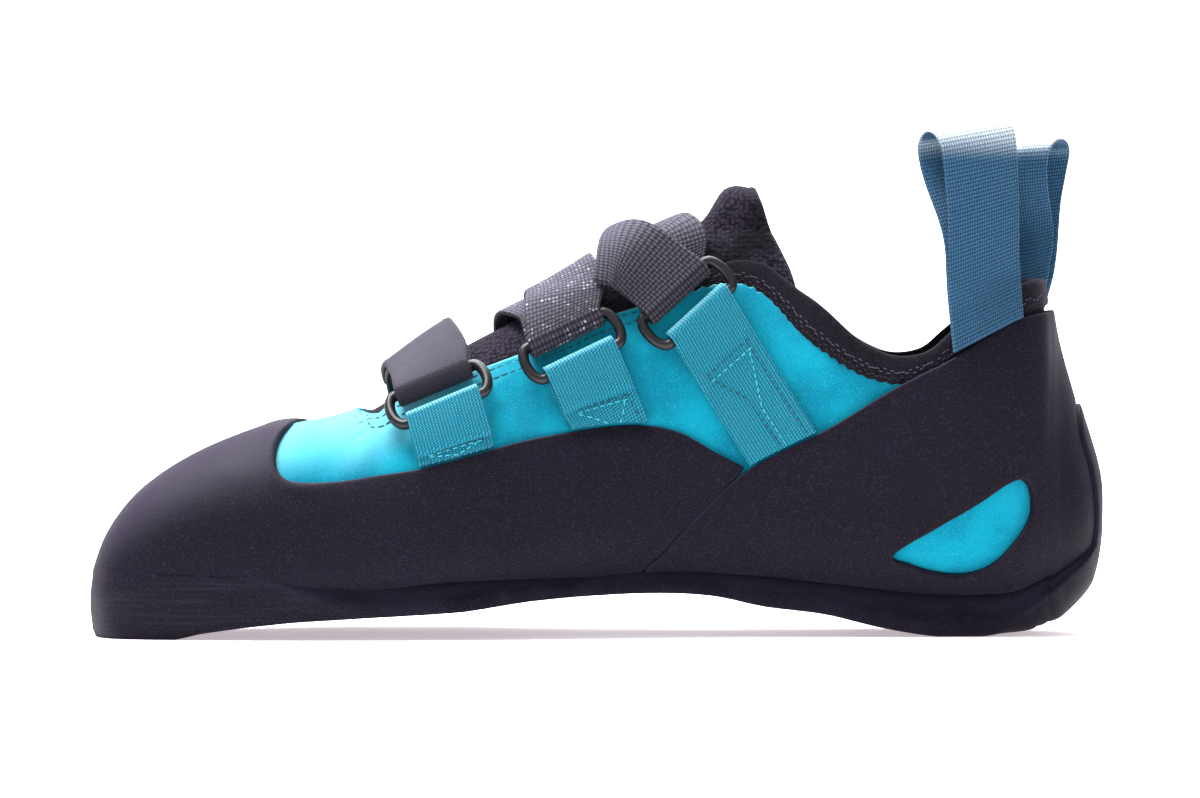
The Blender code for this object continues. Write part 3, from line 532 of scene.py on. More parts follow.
def mixed(finish, factor, first, second):
    """Mixes two colours, each a socket or a hex colour."""
    first, second = (linear(c) if isinstance(c, str) else c for c in (first, second))
    return node(finish, "Mix", {0: factor, 6: first, 7: second}, data_type="RGBA").outputs[2]


def noise(finish, size, detail=2.0, stretch=None):
    """Noise with features of this size in metres, longer along the axes that stretch makes small."""
    place = node(finish, "TexCoord").outputs["Object"]
    if stretch:
        place = node(finish, "Mapping", {"Vector": place, "Scale": stretch}).outputs[0]
    return node(finish, "TexNoise", {"Vector": place, "Scale": 1 / size, "Detail": detail}).outputs[0]


def attribute(finish, name):
    return node(finish, "Attribute", attribute_name=name).outputs["Fac"]


def bump(finish, height, distance, strength=1.0, before=None):
    links = {"Height": height, "Distance": distance, "Strength": strength}
    if before:
        links["Normal"] = before
    return node(finish, "Bump", links).outputs[0]


def facing(finish, direction, low, high, most):
    """How much the surface faces a direction, from 0 to most."""
    normal = node(finish, "NewGeometry").outputs["Normal"]
    turned = node(finish, "VectorMath", {0: normal, 1: direction}, operation="DOT_PRODUCT").outputs["Value"]
    return ranged(finish, turned, low, high, 0.0, most)


def join(finish, **sockets):
    names = {"colour": "Base Color", "rough": "Roughness", "normal": "Normal"}
    shader = finish.node_tree.nodes["Principled BSDF"]
    for key, socket in sockets.items():
        finish.node_tree.links.new(socket, shader.inputs[names[key]])


def weaveParts(finish, alongPitch, acrossPitch, slant=0.0):
    """A plain weave on the band's own measure: the height of its yarns, and which of the two sets is on top."""
    place = node(finish, "SeparateXYZ", {0: node(finish, "UVMap", uv_map="weave").outputs[0]})
    u = maths(finish, "DIVIDE", place.outputs[0], alongPitch)
    v = maths(finish, "DIVIDE", place.outputs[1], acrossPitch)
    if slant:
        u = maths(finish, "ADD", u, maths(finish, "MULTIPLY", v, slant))
    total = maths(finish, "ADD", maths(finish, "FLOOR", u), maths(finish, "FLOOR", v))
    turn = maths(finish, "MULTIPLY", maths(finish, "FRACT", maths(finish, "MULTIPLY", total, 0.5)), 2.0)
    round1, round2 = (maths(finish, "ABSOLUTE", maths(finish, "SINE", maths(finish, "MULTIPLY", w, math.pi)))
                      for w in (u, v))

    def dipping(yarn, other):
        return maths(finish, "MULTIPLY", yarn, maths(finish, "ADD", maths(finish, "MULTIPLY", other, 0.45), 0.55))

    over, under = dipping(round1, round2), dipping(round2, round1)
    height = node(finish, "Mix", {0: turn, 2: over, 3: maths(finish, "MULTIPLY", under, 0.8)}).outputs[0]
    return height, turn


# The upper's teal suede: brushed nap, paler where it faces the light
suedeLook = {"colour": "0389a1", "dark": "00728b", "light": "35aec0", "lit": "8adbe6", "fibre": 0.30 * mm,
             "cloud": 12 * mm}


def makeSuede(name, look):
    finish = newFinish(name, look["colour"], 0.92, sheen=0.18, sheenColour="c8f6fa", specular=0.08)
    fibres = noise(finish, look["fibre"], 3.0)
    clouds = noise(finish, look["cloud"], 4.0)
    colour = mixed(finish, ranged(finish, clouds, 0.35, 0.65), look["dark"], look["colour"])
    colour = mixed(finish, ranged(finish, fibres, 0.52, 0.80, 0.0, 0.65), colour, look["light"])
    colour = mixed(finish, ranged(finish, fibres, 0.25, 0.48, 0.45, 0.0), colour, look["dark"])
    colour = mixed(finish, facing(finish, (-0.55, -0.25, 0.80), 0.62, 0.98, 0.50), colour, look["lit"])
    nap = bump(finish, fibres, 0.12 * mm, 0.7)
    join(finish, colour=colour, normal=bump(finish, noise(finish, 1.6 * mm, 3.0), 0.10 * mm, 0.8, nap))
    return finish


# Moulded rubber of the rand, sling and sole: matt, finely pebbled and violet, with painted highlights
rubberLook = {"colour": "110e19", "light": "2c2739", "dark": "0f0d15", "lit": "3a3546",
              "sandedLight": "2b2636", "sandedDark": "0f0d14", "pebble": 0.45 * mm, "smudge": 14 * mm}


def makeRubber(name, look, sanded=False):
    finish = newFinish(name, look["colour"], 0.62, sheen=0.02, sheenColour="b9aed0", specular=0.08)
    pebble = noise(finish, look["pebble"], 2.0)
    smudges = noise(finish, look["smudge"], 5.0, (0.7, 1, 1.3))
    colour = mixed(finish, ranged(finish, smudges, 0.35, 0.7), look["dark"], look["colour"])
    colour = mixed(finish, ranged(finish, pebble, 0.50, 0.72, 0.0, 0.50), colour, look["light"])
    # Painted highlight where the surface faces up
    colour = mixed(finish, facing(finish, (-0.40, -0.15, 0.90), 0.45, 1.0, 0.55), colour, look["lit"])
    # Pale painted highlight along each piece's edge, broken up by the smudges
    edge = attribute(finish, "edge")
    paintedEdgeHighlight = maths(finish, "MULTIPLY", ranged(finish, edge, 0.05, 0.8, 0.25, 0.0),
                 ranged(finish, smudges, 0.4, 0.6))
    colour = mixed(finish, paintedEdgeHighlight, colour, look["light"])
    rough = ranged(finish, smudges, 0.3, 0.7, 0.56, 0.70)
    normal = bump(finish, pebble, 0.09 * mm, 0.9)
    if sanded:
        marks = noise(finish, 0.9 * mm, 5.0, (0.045, 0.045, 1.0))
        band = attribute(finish, "sanded")
        amount = maths(finish, "MULTIPLY", band, ranged(finish, marks, 0.46, 0.74, 0.0, 0.40))
        colour = mixed(finish, amount, colour, look["sandedLight"])
        deep = maths(finish, "MULTIPLY", band, ranged(finish, marks, 0.30, 0.42, 0.5, 0.0))
        colour = mixed(finish, deep, colour, look["sandedDark"])
        height = maths(finish, "MULTIPLY", band, marks)
        normal = bump(finish, height, 0.20 * mm, 0.7, normal)
    join(finish, colour=colour, rough=rough, normal=normal)
    return finish


# Black padded textiles: a fuzzy mesh for the tongue and lining, a smooth jersey for the collar's binding
paddingLook = {"colour": "131018", "light": "342f3e", "dark": "040305", "mesh": 1.15 * mm}


def makeMesh3d(name, look, cell, depth):
    finish = newFinish(name, look["colour"], 0.95, sheen=0.12, sheenColour="a79fb8", specular=0.10)
    place = node(finish, "TexCoord").outputs["Object"]
    shifted = node(finish, "Mix", {0: 0.0016, 6: place, 7: node(finish, "TexNoise", {"Vector": place,
                   "Scale": 1 / (2.2 * cell)}).outputs[1]}, data_type="RGBA").outputs[2]
    cells = node(finish, "TexVoronoi", {"Vector": shifted, "Scale": 1 / cell, "Randomness": 0.55}).outputs[0]
    fuzz = noise(finish, 0.25 * mm, 3.0)
    colour = mixed(finish, ranged(finish, cells, 0.25, 0.75), look["light"], look["dark"])
    colour = mixed(finish, ranged(finish, fuzz, 0.4, 0.65, 0.60, 0.05), colour, look["colour"])
    # Painted shade in the tongue's hollows, read from an attribute
    colour = mixed(finish, attribute(finish, "hollow"), colour, look["dark"])
    normal = bump(finish, cells, -depth, 0.9)
    join(finish, colour=colour, normal=bump(finish, fuzz, 0.15 * mm, 0.8, normal))
    return finish


# Webbing of the straps: charcoal yarns in a coarse weave, with some pale glints
strapLook = {"colour": "35313f", "light": "77728a", "dark": "09080c", "twill": "2a2634", "glint": "c9c6d2"}


def makeWebbing(name, colour, light, dark, alongPitch, acrossPitch, slant=0.0, glints=0.0, depth=0.35,
                soft=0.35, lit="858099", litFrom=0.55, litMost=0.35, litHeight=None):
    finish = newFinish(name, colour, 0.75, sheen=0.05, specular=0.20)
    height, turn = weaveParts(finish, alongPitch, acrossPitch, slant)
    uneven = noise(finish, 2.4 * mm, 3.0)
    fibres = noise(finish, 0.18 * mm, 2.0)
    tone = mixed(finish, ranged(finish, height, 0.15, 0.95), dark, colour)
    raisedYarn = maths(finish, "MULTIPLY", ranged(finish, height, 0.55, 1.0, 0.0, soft), turn)
    tone = mixed(finish, raisedYarn, tone, light)
    ribs = ranged(finish, height, 0.1, 0.8, 0.35, 1.0)
    litShare = maths(finish, "MULTIPLY", facing(finish, (-0.25, 0.0, 0.97), litFrom, 0.99, litMost), ribs)
    tone = mixed(finish, litShare, tone, lit)
    if litHeight:
        height3d = node(finish, "SeparateXYZ", {0: node(finish, "TexCoord").outputs["Object"]}).outputs[2]
        front = facing(finish, (-0.2, -0.75, 0.6), 0.0, 0.5, 0.85)
        tone = mixed(finish, maths(finish, "MULTIPLY", ranged(finish, height3d, *litHeight),
                                   maths(finish, "MULTIPLY", front, ribs)), tone, lit)
    if glints:
        shine = maths(finish, "MULTIPLY", ranged(finish, uneven, 0.55, 0.62),
                      ranged(finish, height, 0.5, 0.9, 0.0, glints))
        tone = mixed(finish, shine, tone, strapLook["glint"])
    normal = bump(finish, fibres, 0.05 * mm, 0.6)
    join(finish, colour=tone, normal=bump(finish, height, depth * mm, 0.9, normal))
    return finish


suede = makeSuede("tealSuede", suedeLook)
rubber = makeRubber("blackRubber", rubberLook)
soleRubber = makeRubber("sandedSoleRubber", rubberLook, True)
meshPadding = makeMesh3d("blackTongueMesh", paddingLook, paddingLook["mesh"], 0.45 * mm)
jerseyLook = dict(paddingLook, colour="0b090e", light="201d27")
jersey = makeMesh3d("blackBindingJersey", jerseyLook, 0.42 * mm, 0.10 * mm)
basketYarns = (strapLook["colour"], strapLook["light"], strapLook["dark"], 1.25 * mm, 0.95 * mm)
basket = makeWebbing("charcoalBasketWebbing", *basketYarns, depth=0.45)
glintBasket = makeWebbing("charcoalWebbingWithGlints", *basketYarns, glints=0.45, depth=0.45)
twill = makeWebbing("blackTwillTape", strapLook["twill"], "3e3a4a", "131118", 0.55 * mm, 0.55 * mm, 0.5,
                    depth=0.15, litMost=0.2)
# Teal keeper tape of the rings and the pull loops' denim tape, ribbed along and across
tealTape = makeWebbing("tealKeeperTape", "0a889f", "5cc3d1", "034f64", 0.62 * mm, 0.78 * mm, 0.5, depth=0.25,
                       soft=0.6, lit="8fdbe4", litFrom=0.5, litMost=0.6)
loopTape = makeWebbing("denimLoopTape", "27597a", "6a9bb4", "0f3048", 0.92 * mm, 0.62 * mm, depth=0.28, soft=0.5,
                       lit="e4f2f8", litFrom=0.35, litMost=0.95, litHeight=(0.114, 0.1245))
# Satin black paint on the rings' wire
satinBlack = newFinish("satinBlackRing", "0e0d12", 0.38, specular=0.35)
# Grey felt of the insole board
board = newFinish("insoleFelt", "3b3a40", 0.95, sheen=0.2, specular=0.15)
join(board, normal=bump(board, noise(board, 0.5 * mm, 4.0), 0.15 * mm, 0.8))
# Threads: pale and dark teal on the keeper tapes, black and grey on the collar and the front strap
paleThread = newFinish("paleTealThread", "37a9ba", 0.7)
darkThread = newFinish("darkTealThread", "03485a", 0.8)
blackThread = newFinish("blackThread", "1a1820", 0.8)
greyThread = newFinish("greyThread", "45414f", 0.8)
print("materials made")


def keep(obj, slotName, *nodes):
    """The finished piece takes its nodes' place in the frame."""
    if nodes:
        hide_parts(*nodes)
    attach(obj, "root")
    return obj


# Where the picture has the toe's tip, across, and the floor, down; and the tip's place in the frame
picturePlace = {"toeAcross": 90, "floorDown": 638, "toe": -122.7 * mm}


def photo(px, py):
    """Share of the length and of the height of a pixel of the reference picture."""
    x = (px - picturePlace["toeAcross"]) * cameraView["pixel"] + picturePlace["toe"]
    return (x - sideX(0)) / shoeLength, (picturePlace["floorDown"] - py) * cameraView["pixel"] / shoe["instep"]


# Soft troughs and ridges of the suede, as lines in the side view: two ends in the picture's own measure, width
# and depth, where a ridge is deeper than 0 outwards
creaseLook = {"lines": [((424, 470), (402, 425), 4.0, -0.35), ((512, 392), (536, 440), 4.5, -0.40),
                        ((640, 345), (676, 425), 6.0, -0.45), ((655, 340), (700, 420), 3.0, 0.25),
                        ((752, 330), (842, 392), 5.0, 0.30), ((770, 352), (846, 412), 3.5, -0.30),
                        ((318, 432), (352, 462), 5.0, -0.25), ((560, 350), (590, 330), 3.0, -0.30)],
              "sway": 0.12 * mm}


def troughDepths(rows):
    """Extra height over the last from troughs and ridges, each two ends, a width and a height."""
    x, z = last.points[:, 0], last.points[:, 2]
    depth = np.zeros(len(x))
    for (startX, startY), (endX, endY), width, height in rows:
        ends = []
        for px, py in ((startX, startY), (endX, endY)):
            along, up = photo(px, py)
            ends.append((sideX(along), up * shoe["instep"]))
        (ax, az), (bx, bz) = ends
        size = (bx - ax) ** 2 + (bz - az) ** 2
        share = ((x - ax) * (bx - ax) + (z - az) * (bz - az)) / size
        near = np.clip(share, 0, 1)
        away = np.hypot(x - ax - near * (bx - ax), z - az - near * (bz - az))
        fade = smoothStep(-0.35, 0.25, share) * smoothStep(1.35, 0.75, share)
        depth += height * mm * np.exp(-(away / (width * mm)) ** 2) * fade
    return depth


sway = np.sin(last.points[:, 0] / (9 * mm) + 2.0 * np.sin(last.points[:, 2] / (14 * mm)))
creases = (troughDepths(creaseLook["lines"])
           + creaseLook["sway"] * sway * np.sin(last.points[:, 2] / (11 * mm) + 1))
alongShare = (last.points[:, 0] - sideX(0)) / shoeLength
upShare = last.points[:, 2] / shoe["instep"]
gap = shoe["gap"]
hairline = 0.02 * mm
holeUnder = np.minimum(fromEdge(1.0) - shoe["lastingMargin"],
                       np.minimum(last.points[:, 0] - sideX(0.09), sideX(0.93) - last.points[:, 0]))

# The upper, with a pinked edge along the collar and a shallow groove under each row of stitches
upperLook = {"toothPitch": 2.6 * mm, "toothDepth": 0.80 * mm, "grooves": (1.3 * mm, 3.3 * mm),
             "groove": 0.22 * mm, "linedFrom": 0.838, "linedAbove": 0.60}


def collarArc():
    """Length along the upper's top line at the place nearest to each point."""
    line = np.array(lines["upper"].line)
    steps = np.concatenate([[0], np.cumsum(np.linalg.norm(np.diff(line, axis=0), axis=1))])
    arc = np.zeros(len(last.points))
    best = np.full(len(last.points), 1.0)
    for i in range(len(line) - 1):
        a, d = line[i], line[i + 1] - line[i]
        size = max(d @ d, 1e-18)
        off = last.points[:, [0, 2]] - a
        share = np.clip(off @ d / size, 0, 1)
        away = np.linalg.norm(off - share[:, None] * d, axis=1)
        arc = np.where(away < best, steps[i] + share * math.sqrt(size), arc)
        best = np.minimum(best, away)
    return arc


upperField = lineField("upper")
tooth = np.abs((collarArc() / upperLook["toothPitch"]) % 1 * 2 - 1)
pinked = smoothStep(0.555, 0.570, alongShare) * upperLook["toothDepth"]
edgeField = upperField - pinked * tooth


def upperLip(field, spots):
    away = lines["upper"].distance(spots[:, 0], spots[:, 2])
    along = (spots[:, 0] - sideX(0)) / shoeLength
    open_ = smoothStep(0.255, 0.262, along) * smoothStep(0.60, 0.57, along)
    total = sum(np.exp(-((away - d) / (0.45 * mm)) ** 2) for d in upperLook["grooves"])
    return -upperLook["groove"] * total * open_


upperObj = shellPiece("upperShell", np.minimum(edgeField, -holeUnder), offsetBy(0.0),
                      offsetBy(shoe["upperWall"] + np.minimum(creases, 0.25 * mm)), suede, 0.7 * mm, lip=upperLip)
upperObj.data.materials.append(meshPadding)
skinCount = len(upperObj.data.vertices) // 2
for face in upperObj.data.polygons:
    heelTab = (face.center.x > sideX(upperLook["linedFrom"])
               and face.center.z > upperLook["linedAbove"] * shoe["instep"])
    if max(face.vertices) >= skinCount or heelTab:
        face.material_index = 1
keep(upperObj, "suede", "upper")
print("upper made:", len(upperObj.data.polygons), "faces")

insoleField = np.minimum(fromEdge(0.93), np.minimum(last.points[:, 0] - sideX(0.035),
                                                     sideX(0.965) - last.points[:, 0]))
insoleObj = shellPiece("insoleBoard", insoleField, offsetBy(-gap - shoe["insoleWall"]), offsetBy(-gap), board,
                       0.8 * mm)
keep(insoleObj, "insole", "insole")

# The outsole, its edge line fading into the rand at the toe, where it is sanded
soleLook = {"fadeFrom": 0.24, "fadeTo": 0.34, "sandedTop": 0.26, "sandedEnd": 0.40, "tuck": 0.6 * mm,
            "raised": 1.2 * mm, "heelTurn": 3 * mm}
toeFade = smoothStep(soleLook["fadeTo"], soleLook["fadeFrom"], alongShare)
raised = soleLook["raised"] * smoothStep(0.20, 0.40, alongShare) * smoothStep(0.80, 0.68, alongShare)
soleField = np.maximum(lineField("sole") + raised, fromEdge(0.80))
tuck = soleLook["tuck"] * toeFade


def soleInner(grid):
    rise = smoothStep(9 * mm, 15 * mm, holeUnder)
    return grid.points + grid.normals * (gap + shoe["upperWall"] * (1 - rise))[:, None]


def soleOuter(grid):
    heel = smoothStep(0.87, 0.965, alongShare)
    down = smoothStep(0.15, 0.80, -grid.normals[:, 2])
    sideDepth = rimOuter + (heelOuter - rimOuter) * heel
    neighbour = overUpper + np.where(alongShare < 0.56, shoe["randWall"], shoe["slingWall"])
    flush = np.maximum(toeFade * smoothStep(7 * mm, 0.0, soleField), smoothStep(3.2 * mm, 0.4 * mm, soleField))
    sideDepth = sideDepth + (neighbour - sideDepth) * flush * (1 - heel) * (1 - down)
    corner = smoothStep(0.05, 0.70, -grid.normals[:, 2]) * smoothStep(0.05, 0.65, grid.normals[:, 0])
    depth = sideDepth + (soleDepth - sideDepth) * down * heel + shoe["heelCorner"] * corner
    made = grid.points + grid.normals * depth[:, None]
    made[:, 2] += (soleHeights(made[:, 0]) - made[:, 2]) * down * (1 - heel)
    turned = soleLook["heelTurn"]
    past = np.maximum(made[:, 0] - (sideX(1) - turned), 0)
    made[:, 0] += turned * (1 - np.exp(-past / turned)) - past
    made[:, 2] = np.maximum(made[:, 2], 0)
    return made


sandedBand = (smoothStep(soleLook["sandedTop"], 0.10, upShare + 0.06 * np.sin(alongShare * 31))
              * smoothStep(soleLook["sandedEnd"], 0.12, alongShare))
soleObj = shellPiece("outsoleShell", soleField - hairline + tuck, soleInner, soleOuter, soleRubber, 0.35 * mm,
                     extras={"sanded": sandedBand})
keep(soleObj, "rubber", "outsole")
print("outsole made")

# The rand over the toe and the sides, with a raised lip round the front of the bare suede
randLook = {"lip": 0.40 * mm, "skive": 1.1 * mm}
overCrest = smoothStep(0.02, 0.26, (last.points[:, 1] - last.cut["crest"]) / shoe["ballWidth"])
randField = lineField("randInner") * (1 - overCrest) + lineField("randOuter") * overCrest
aboveSole = tuck - soleField - hairline


def randLip(field, spots):
    away = lines["randInner"].distance(spots[:, 0], spots[:, 2])
    along = (spots[:, 0] - sideX(0)) / shoeLength
    here = smoothStep(0.25, 0.20, along) * smoothStep(4.6 * mm, 1.2 * mm, np.abs(away))
    overTop = smoothStep(0.46, 0.52, spots[:, 2] / shoe["instep"])
    skived = randLook["skive"] * overTop * smoothStep(4 * mm, 0, field)
    return randLook["lip"] * here * (1 - overTop) * smoothStep(0, 1.0 * mm, field) - skived


randObj = shellPiece("randShell", np.minimum(np.minimum(randField, aboveSole), -lineField("sling") - hairline),
                     offsetBy(overUpper), offsetBy(overUpper + shoe["randWall"]), rubber, 0.5 * mm, lip=randLip,
                     extras={"sanded": sandedBand * 0.5})
keep(randObj, "rubber", "front_rand")
slingObj = shellPiece("slingShell", np.minimum(np.minimum(lineField("sling") - hairline, aboveSole),
                                               -lineField("window")),
                      offsetBy(overUpper), offsetBy(overUpper + shoe["slingWall"]), rubber, 0.5 * mm)
keep(slingObj, "rubber", "heel_sling")
print("rand and sling made")

# The collar's binding: a thin band under the straps and a soft roll behind them, scalloped by its stitches
thin = shoe["upperWall"] - gap
full = smoothStep(0.675, 0.715, alongShare)
bindingDepth = thin + (shoe["bindingWall"] - thin) * full + 1.0 * mm * smoothStep(0.94, 0.975, alongShare)
collarField = lineField("collar")
roll = 0.25 * mm * full * np.sin(np.clip(collarField / (3.2 * mm), 0, 1) * math.pi)
underSuede = 0.6 * mm
bindingField = np.minimum(-upperField + pinked * tooth + underSuede, collarField)
bindingObj = shellPiece("bindingRoll", bindingField, offsetBy(0.0), offsetBy(bindingDepth + roll), jersey, 1.3 * mm)
keep(bindingObj, "padding", "collar_binding")

tongueRoll = smoothStep(0.590, 0.630, alongShare) * smoothStep(0.980, 1.025, upShare)
# Hollows and bulges of the tongue's top; the hollows also get painted shade through an attribute
hollow = troughDepths([((735, 240), (775, 243), 3.6, -2.2), ((700, 256), (742, 262), 3.0, -1.2),
                       ((752, 205), (757, 228), 1.6, -0.9), ((716, 232), (738, 205), 5.0, 0.8),
                       ((774, 262), (792, 285), 4.0, 0.7)])
puff = hollow + 0.35 * mm * np.sin(last.points[:, 0] / (5.5 * mm) + np.sin(last.points[:, 1] / (9 * mm)))
tongueObj = shellPiece("tonguePad", lineField("tongue"), offsetBy(-gap - shoe["tongueWall"]),
                       offsetBy(shoe["tongueRoll"] * tongueRoll - gap + np.where(tongueRoll > 0.02, puff, -0.1 * mm)),
                       meshPadding, 2.2 * mm, extras={"hollow": np.clip(-hollow / (1.8 * mm), 0, 0.92)})
keep(tongueObj, "padding", "tongue")
print("binding and tongue made")

# The three closures: ring slot, foot of the tape, and the strap's way over the foot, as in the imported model
closures = {
    "front": {"ring": ((0.312, 0.518), (0.381, 0.588)), "foot": (0.361, 0.410), "lift": 0.0,
              "rise": shoe["strapRise"],
              "under": [(0.340, 160), (0.334, 182), (0.331, 212), (0.328, 240)],
              "over": [(0.340, 160), (0.334, 182), (0.332, 206)]},
    "middle": {"ring": ((0.442, 0.642), (0.503, 0.713)), "foot": (0.509, 0.490), "lift": 0.0, "rise": 0.0,
               "under": [(0.458, 160), (0.438, 182), (0.434, 212), (0.432, 240)],
               "over": [(0.470, 160), (0.468, 182), (0.468, 206)]},
    "rear": {"ring": ((0.562, 0.735), (0.608, 0.838)), "foot": (0.684, 0.430), "lift": 2.8 * mm, "rise": 0.0,
             "under": [(0.566, 160), (0.540, 182), (0.534, 212), (0.530, 240)],
             "over": [(0.558, 144), (0.532, 156), (0.510, 165)]},
}
pullLoops = {
    "inner": {"side": -1, "base": ((0.842, 0.684), (0.904, 0.768)), "top": ((0.818, 1.215), (0.893, 1.245))},
    "outer": {"side": 1, "base": ((0.855, 0.705), (0.924, 0.786)), "top": ((0.879, 1.185), (0.956, 1.195))},
}
# Places across a band, from edge to edge, closer together where its edges are rounded
halfPlaces = (0.25, 0.50, 0.75, 0.90, 0.955, 0.985, 1.0)
bandPlaces = tuple(-place for place in halfPlaces[::-1]) + (0.0,) + halfPlaces


def bandMesh(name, rows, wall, finish):
    """A closed band with rounded edges through rows of points on its middle surface, mapped in metres."""
    rows = np.array([[tuple(point) for point in row] for row in rows])
    count, across = rows.shape[:2]
    normal = np.cross(np.gradient(rows, axis=0), np.gradient(rows, axis=1))
    normal /= np.maximum(np.linalg.norm(normal, axis=2, keepdims=True), 1e-12)
    arc = np.concatenate([np.zeros((count, 1)), np.cumsum(np.linalg.norm(np.diff(rows, axis=1), axis=2), 1)], 1)
    away = np.minimum(arc, arc[:, -1:] - arc) / (wall / 2)
    profile = np.sqrt(np.maximum(0.02, 1 - (1 - np.clip(away, 0, 1)) ** 2))[..., None]
    top, low = rows + normal * profile * wall / 2, rows - normal * profile * wall / 2
    size = count * across
    faces = []
    for i in range(count - 1):
        for j in range(across - 1):
            a, b = i * across + j, (i + 1) * across + j
            faces += [(a, b, b + 1, a + 1), (size + a + 1, size + b + 1, size + b, size + a)]
        a, b = i * across, (i + 1) * across
        faces.append((b, a, size + a, size + b))
        a, b = a + across - 1, b + across - 1
        faces.append((a, b, size + b, size + a))
    for j in range(across - 1):
        faces.append((j, j + 1, size + j + 1, size + j))
        a = (count - 1) * across + j
        faces.append((a + 1, a, size + a, size + a + 1))
    long = np.concatenate([[0], np.cumsum(np.linalg.norm(np.diff(rows[:, across // 2], axis=0), axis=1))])
    uv = np.stack([np.repeat(long, across), (arc - arc[:, -1:] / 2).ravel()], -1)
    return makeMesh(name, np.concatenate([top.reshape(-1, 3), low.reshape(-1, 3)]), faces, finish,
                    np.concatenate([uv, uv]), 50)


def ringFrame(closure):
    (front, frontUp), (rear, rearUp) = closure["ring"]
    start, _ = last.fromSide(front, frontUp, -1)
    end, _ = last.fromSide(rear, rearUp, -1)
    place, normal = last.fromSide((front + rear) / 2, (frontUp + rearUp) / 2, -1)
    bar = (end - start).normalized()
    normal = (normal - bar * normal.dot(bar)).normalized()
    up = normal.cross(bar)
    if up.z < 0:
        up = -up
    lift = shoe["upperWall"] + shoe["layerGap"] * 2 + shoe["strapWall"] + shoe["ringWire"] / 2
    return place + normal * lift, bar, up, normal


def foldRows(middle, bar, back, normal, radius, width, steps=15):
    rows = []
    for i in range(steps):
        angle = math.pi * (i / (steps - 1) - 0.5)
        centre = middle + back * (math.cos(angle) * radius) + normal * (math.sin(angle) * radius)
        rows.append([centre + bar * (width / 2 * j) for j in bandPlaces])
    return rows


def legRows(path, bar, width, height, steps):
    """Rows of a band that follows a path over the foot. height is a function of the distance from the bar."""
    points = [path[0] + (path[0] - path[1])] + path + [path[-1] + (path[-1] - path[-2])]
    fine = [path[0]]
    for first in range(len(path) - 1):
        near = points[first:first + 4]
        for i in range(1, 13):
            spot = Vector([catmull(*(p[axis] for p in near), i / 12) for axis in range(3)])
            fine.append(last.nearest(spot)[0])
    lengths = [0.0]
    for before, after in zip(fine, fine[1:]):
        lengths.append(lengths[-1] + (after - before).length)
    firstRow = 3 * shoe["ringWire"]
    rows = []
    for i in range(steps):
        gone = firstRow + (lengths[-1] - firstRow) * i / (steps - 1)
        k = max(k for k in range(len(fine) - 1) if lengths[k] <= gone)
        share = min(1.0, (gone - lengths[k]) / max(lengths[k + 1] - lengths[k], 1e-6))
        centre, normal = last.nearest(fine[k].lerp(fine[k + 1], share))
        along = (fine[min(k + 3, len(fine) - 1)] - fine[max(k - 2, 0)]).normalized()
        side = normal.cross(along).normalized()
        if side.dot(bar) < 0:
            side = -side
        side = bar.lerp(side, float(smoothStep(0, 0.016, gone))).normalized()
        row = []
        for j in bandPlaces:
            place, out = last.nearest(centre + side * (width / 2 * j))
            row.append(place + out * height(gone))
        rows.append(row)
    return rows


def keeperRows(closure, lowerBar, bar, nearBar, level, steps=26):
    """Rows of a ring's keeper tape, from near the bar down to the edge of the rubber."""
    foot, _ = last.fromSide(*closure["foot"], -1)
    start = last.nearest(lowerBar)[0]
    down = (foot - start).normalized()
    columns = []
    for j in bandPlaces:
        first = start + bar * (shoe["tapeWidth"] / 2 * j) + down * (3 * shoe["ringWire"])
        low, high = 0.0, 0.06
        for _ in range(16):
            middle = (low + high) / 2
            spot = last.nearest(first + down * middle)[0]
            under = max(lines["randInner"].distance(spot.x, spot.z), lines["sling"].distance(spot.x, spot.z))
            if under < -2 * gap:
                low = middle
            else:
                high = middle
        column = []
        for i in range(steps):
            share = i / (steps - 1)
            place, out = last.nearest(first + down * (low * share))
            column.append(place + out * (level + (nearBar - level) * float(smoothStep(0.28, 0, share))))
        columns.append(column)
    return [list(row) for row in zip(*columns)]


def tube(name, points, radius, finish, sides=20):
    """A closed ring of round wire through points."""
    points = np.array([tuple(p) for p in points])
    ahead = np.roll(points, -1, 0) - np.roll(points, 1, 0)
    ahead /= np.linalg.norm(ahead, axis=1, keepdims=True)
    middle = points.mean(0)
    flat = np.cross(points[0] - middle, points[len(points) // 4] - middle)
    flat /= np.linalg.norm(flat)
    out = np.cross(ahead, flat)
    angle = 2 * math.pi * np.arange(sides) / sides
    skin = (points[:, None] + radius * (np.cos(angle)[None, :, None] * out[:, None]
                                        + np.sin(angle)[None, :, None] * flat[None, None]))
    faces = []
    for i in range(len(points)):
        for j in range(sides):
            a, b = i * sides, ((i + 1) % len(points)) * sides
            k = (j + 1) % sides
            faces.append((a + j, a + k, b + k, b + j))
    return makeMesh(name, skin.reshape(-1, 3), faces, finish)


def ringPoints(centre, bar, up, reach):
    straight = max(shoe["strapWidth"], shoe["tapeWidth"]) / 2 + gap
    endReach = shoe["ringLength"] / 2 - shoe["ringWire"] / 2 - straight
    points = []
    for end in (1, -1):
        for i in range(25):
            angle = math.pi * (i / 24 - 0.5)
            points.append(centre + (bar * (straight + math.cos(angle) * endReach)
                                    + up * (math.sin(angle) * reach)) * end)
        points += [centre + (bar * straight * (1 - 2 * i / 8) + up * reach) * end for i in range(1, 8)]
    return points


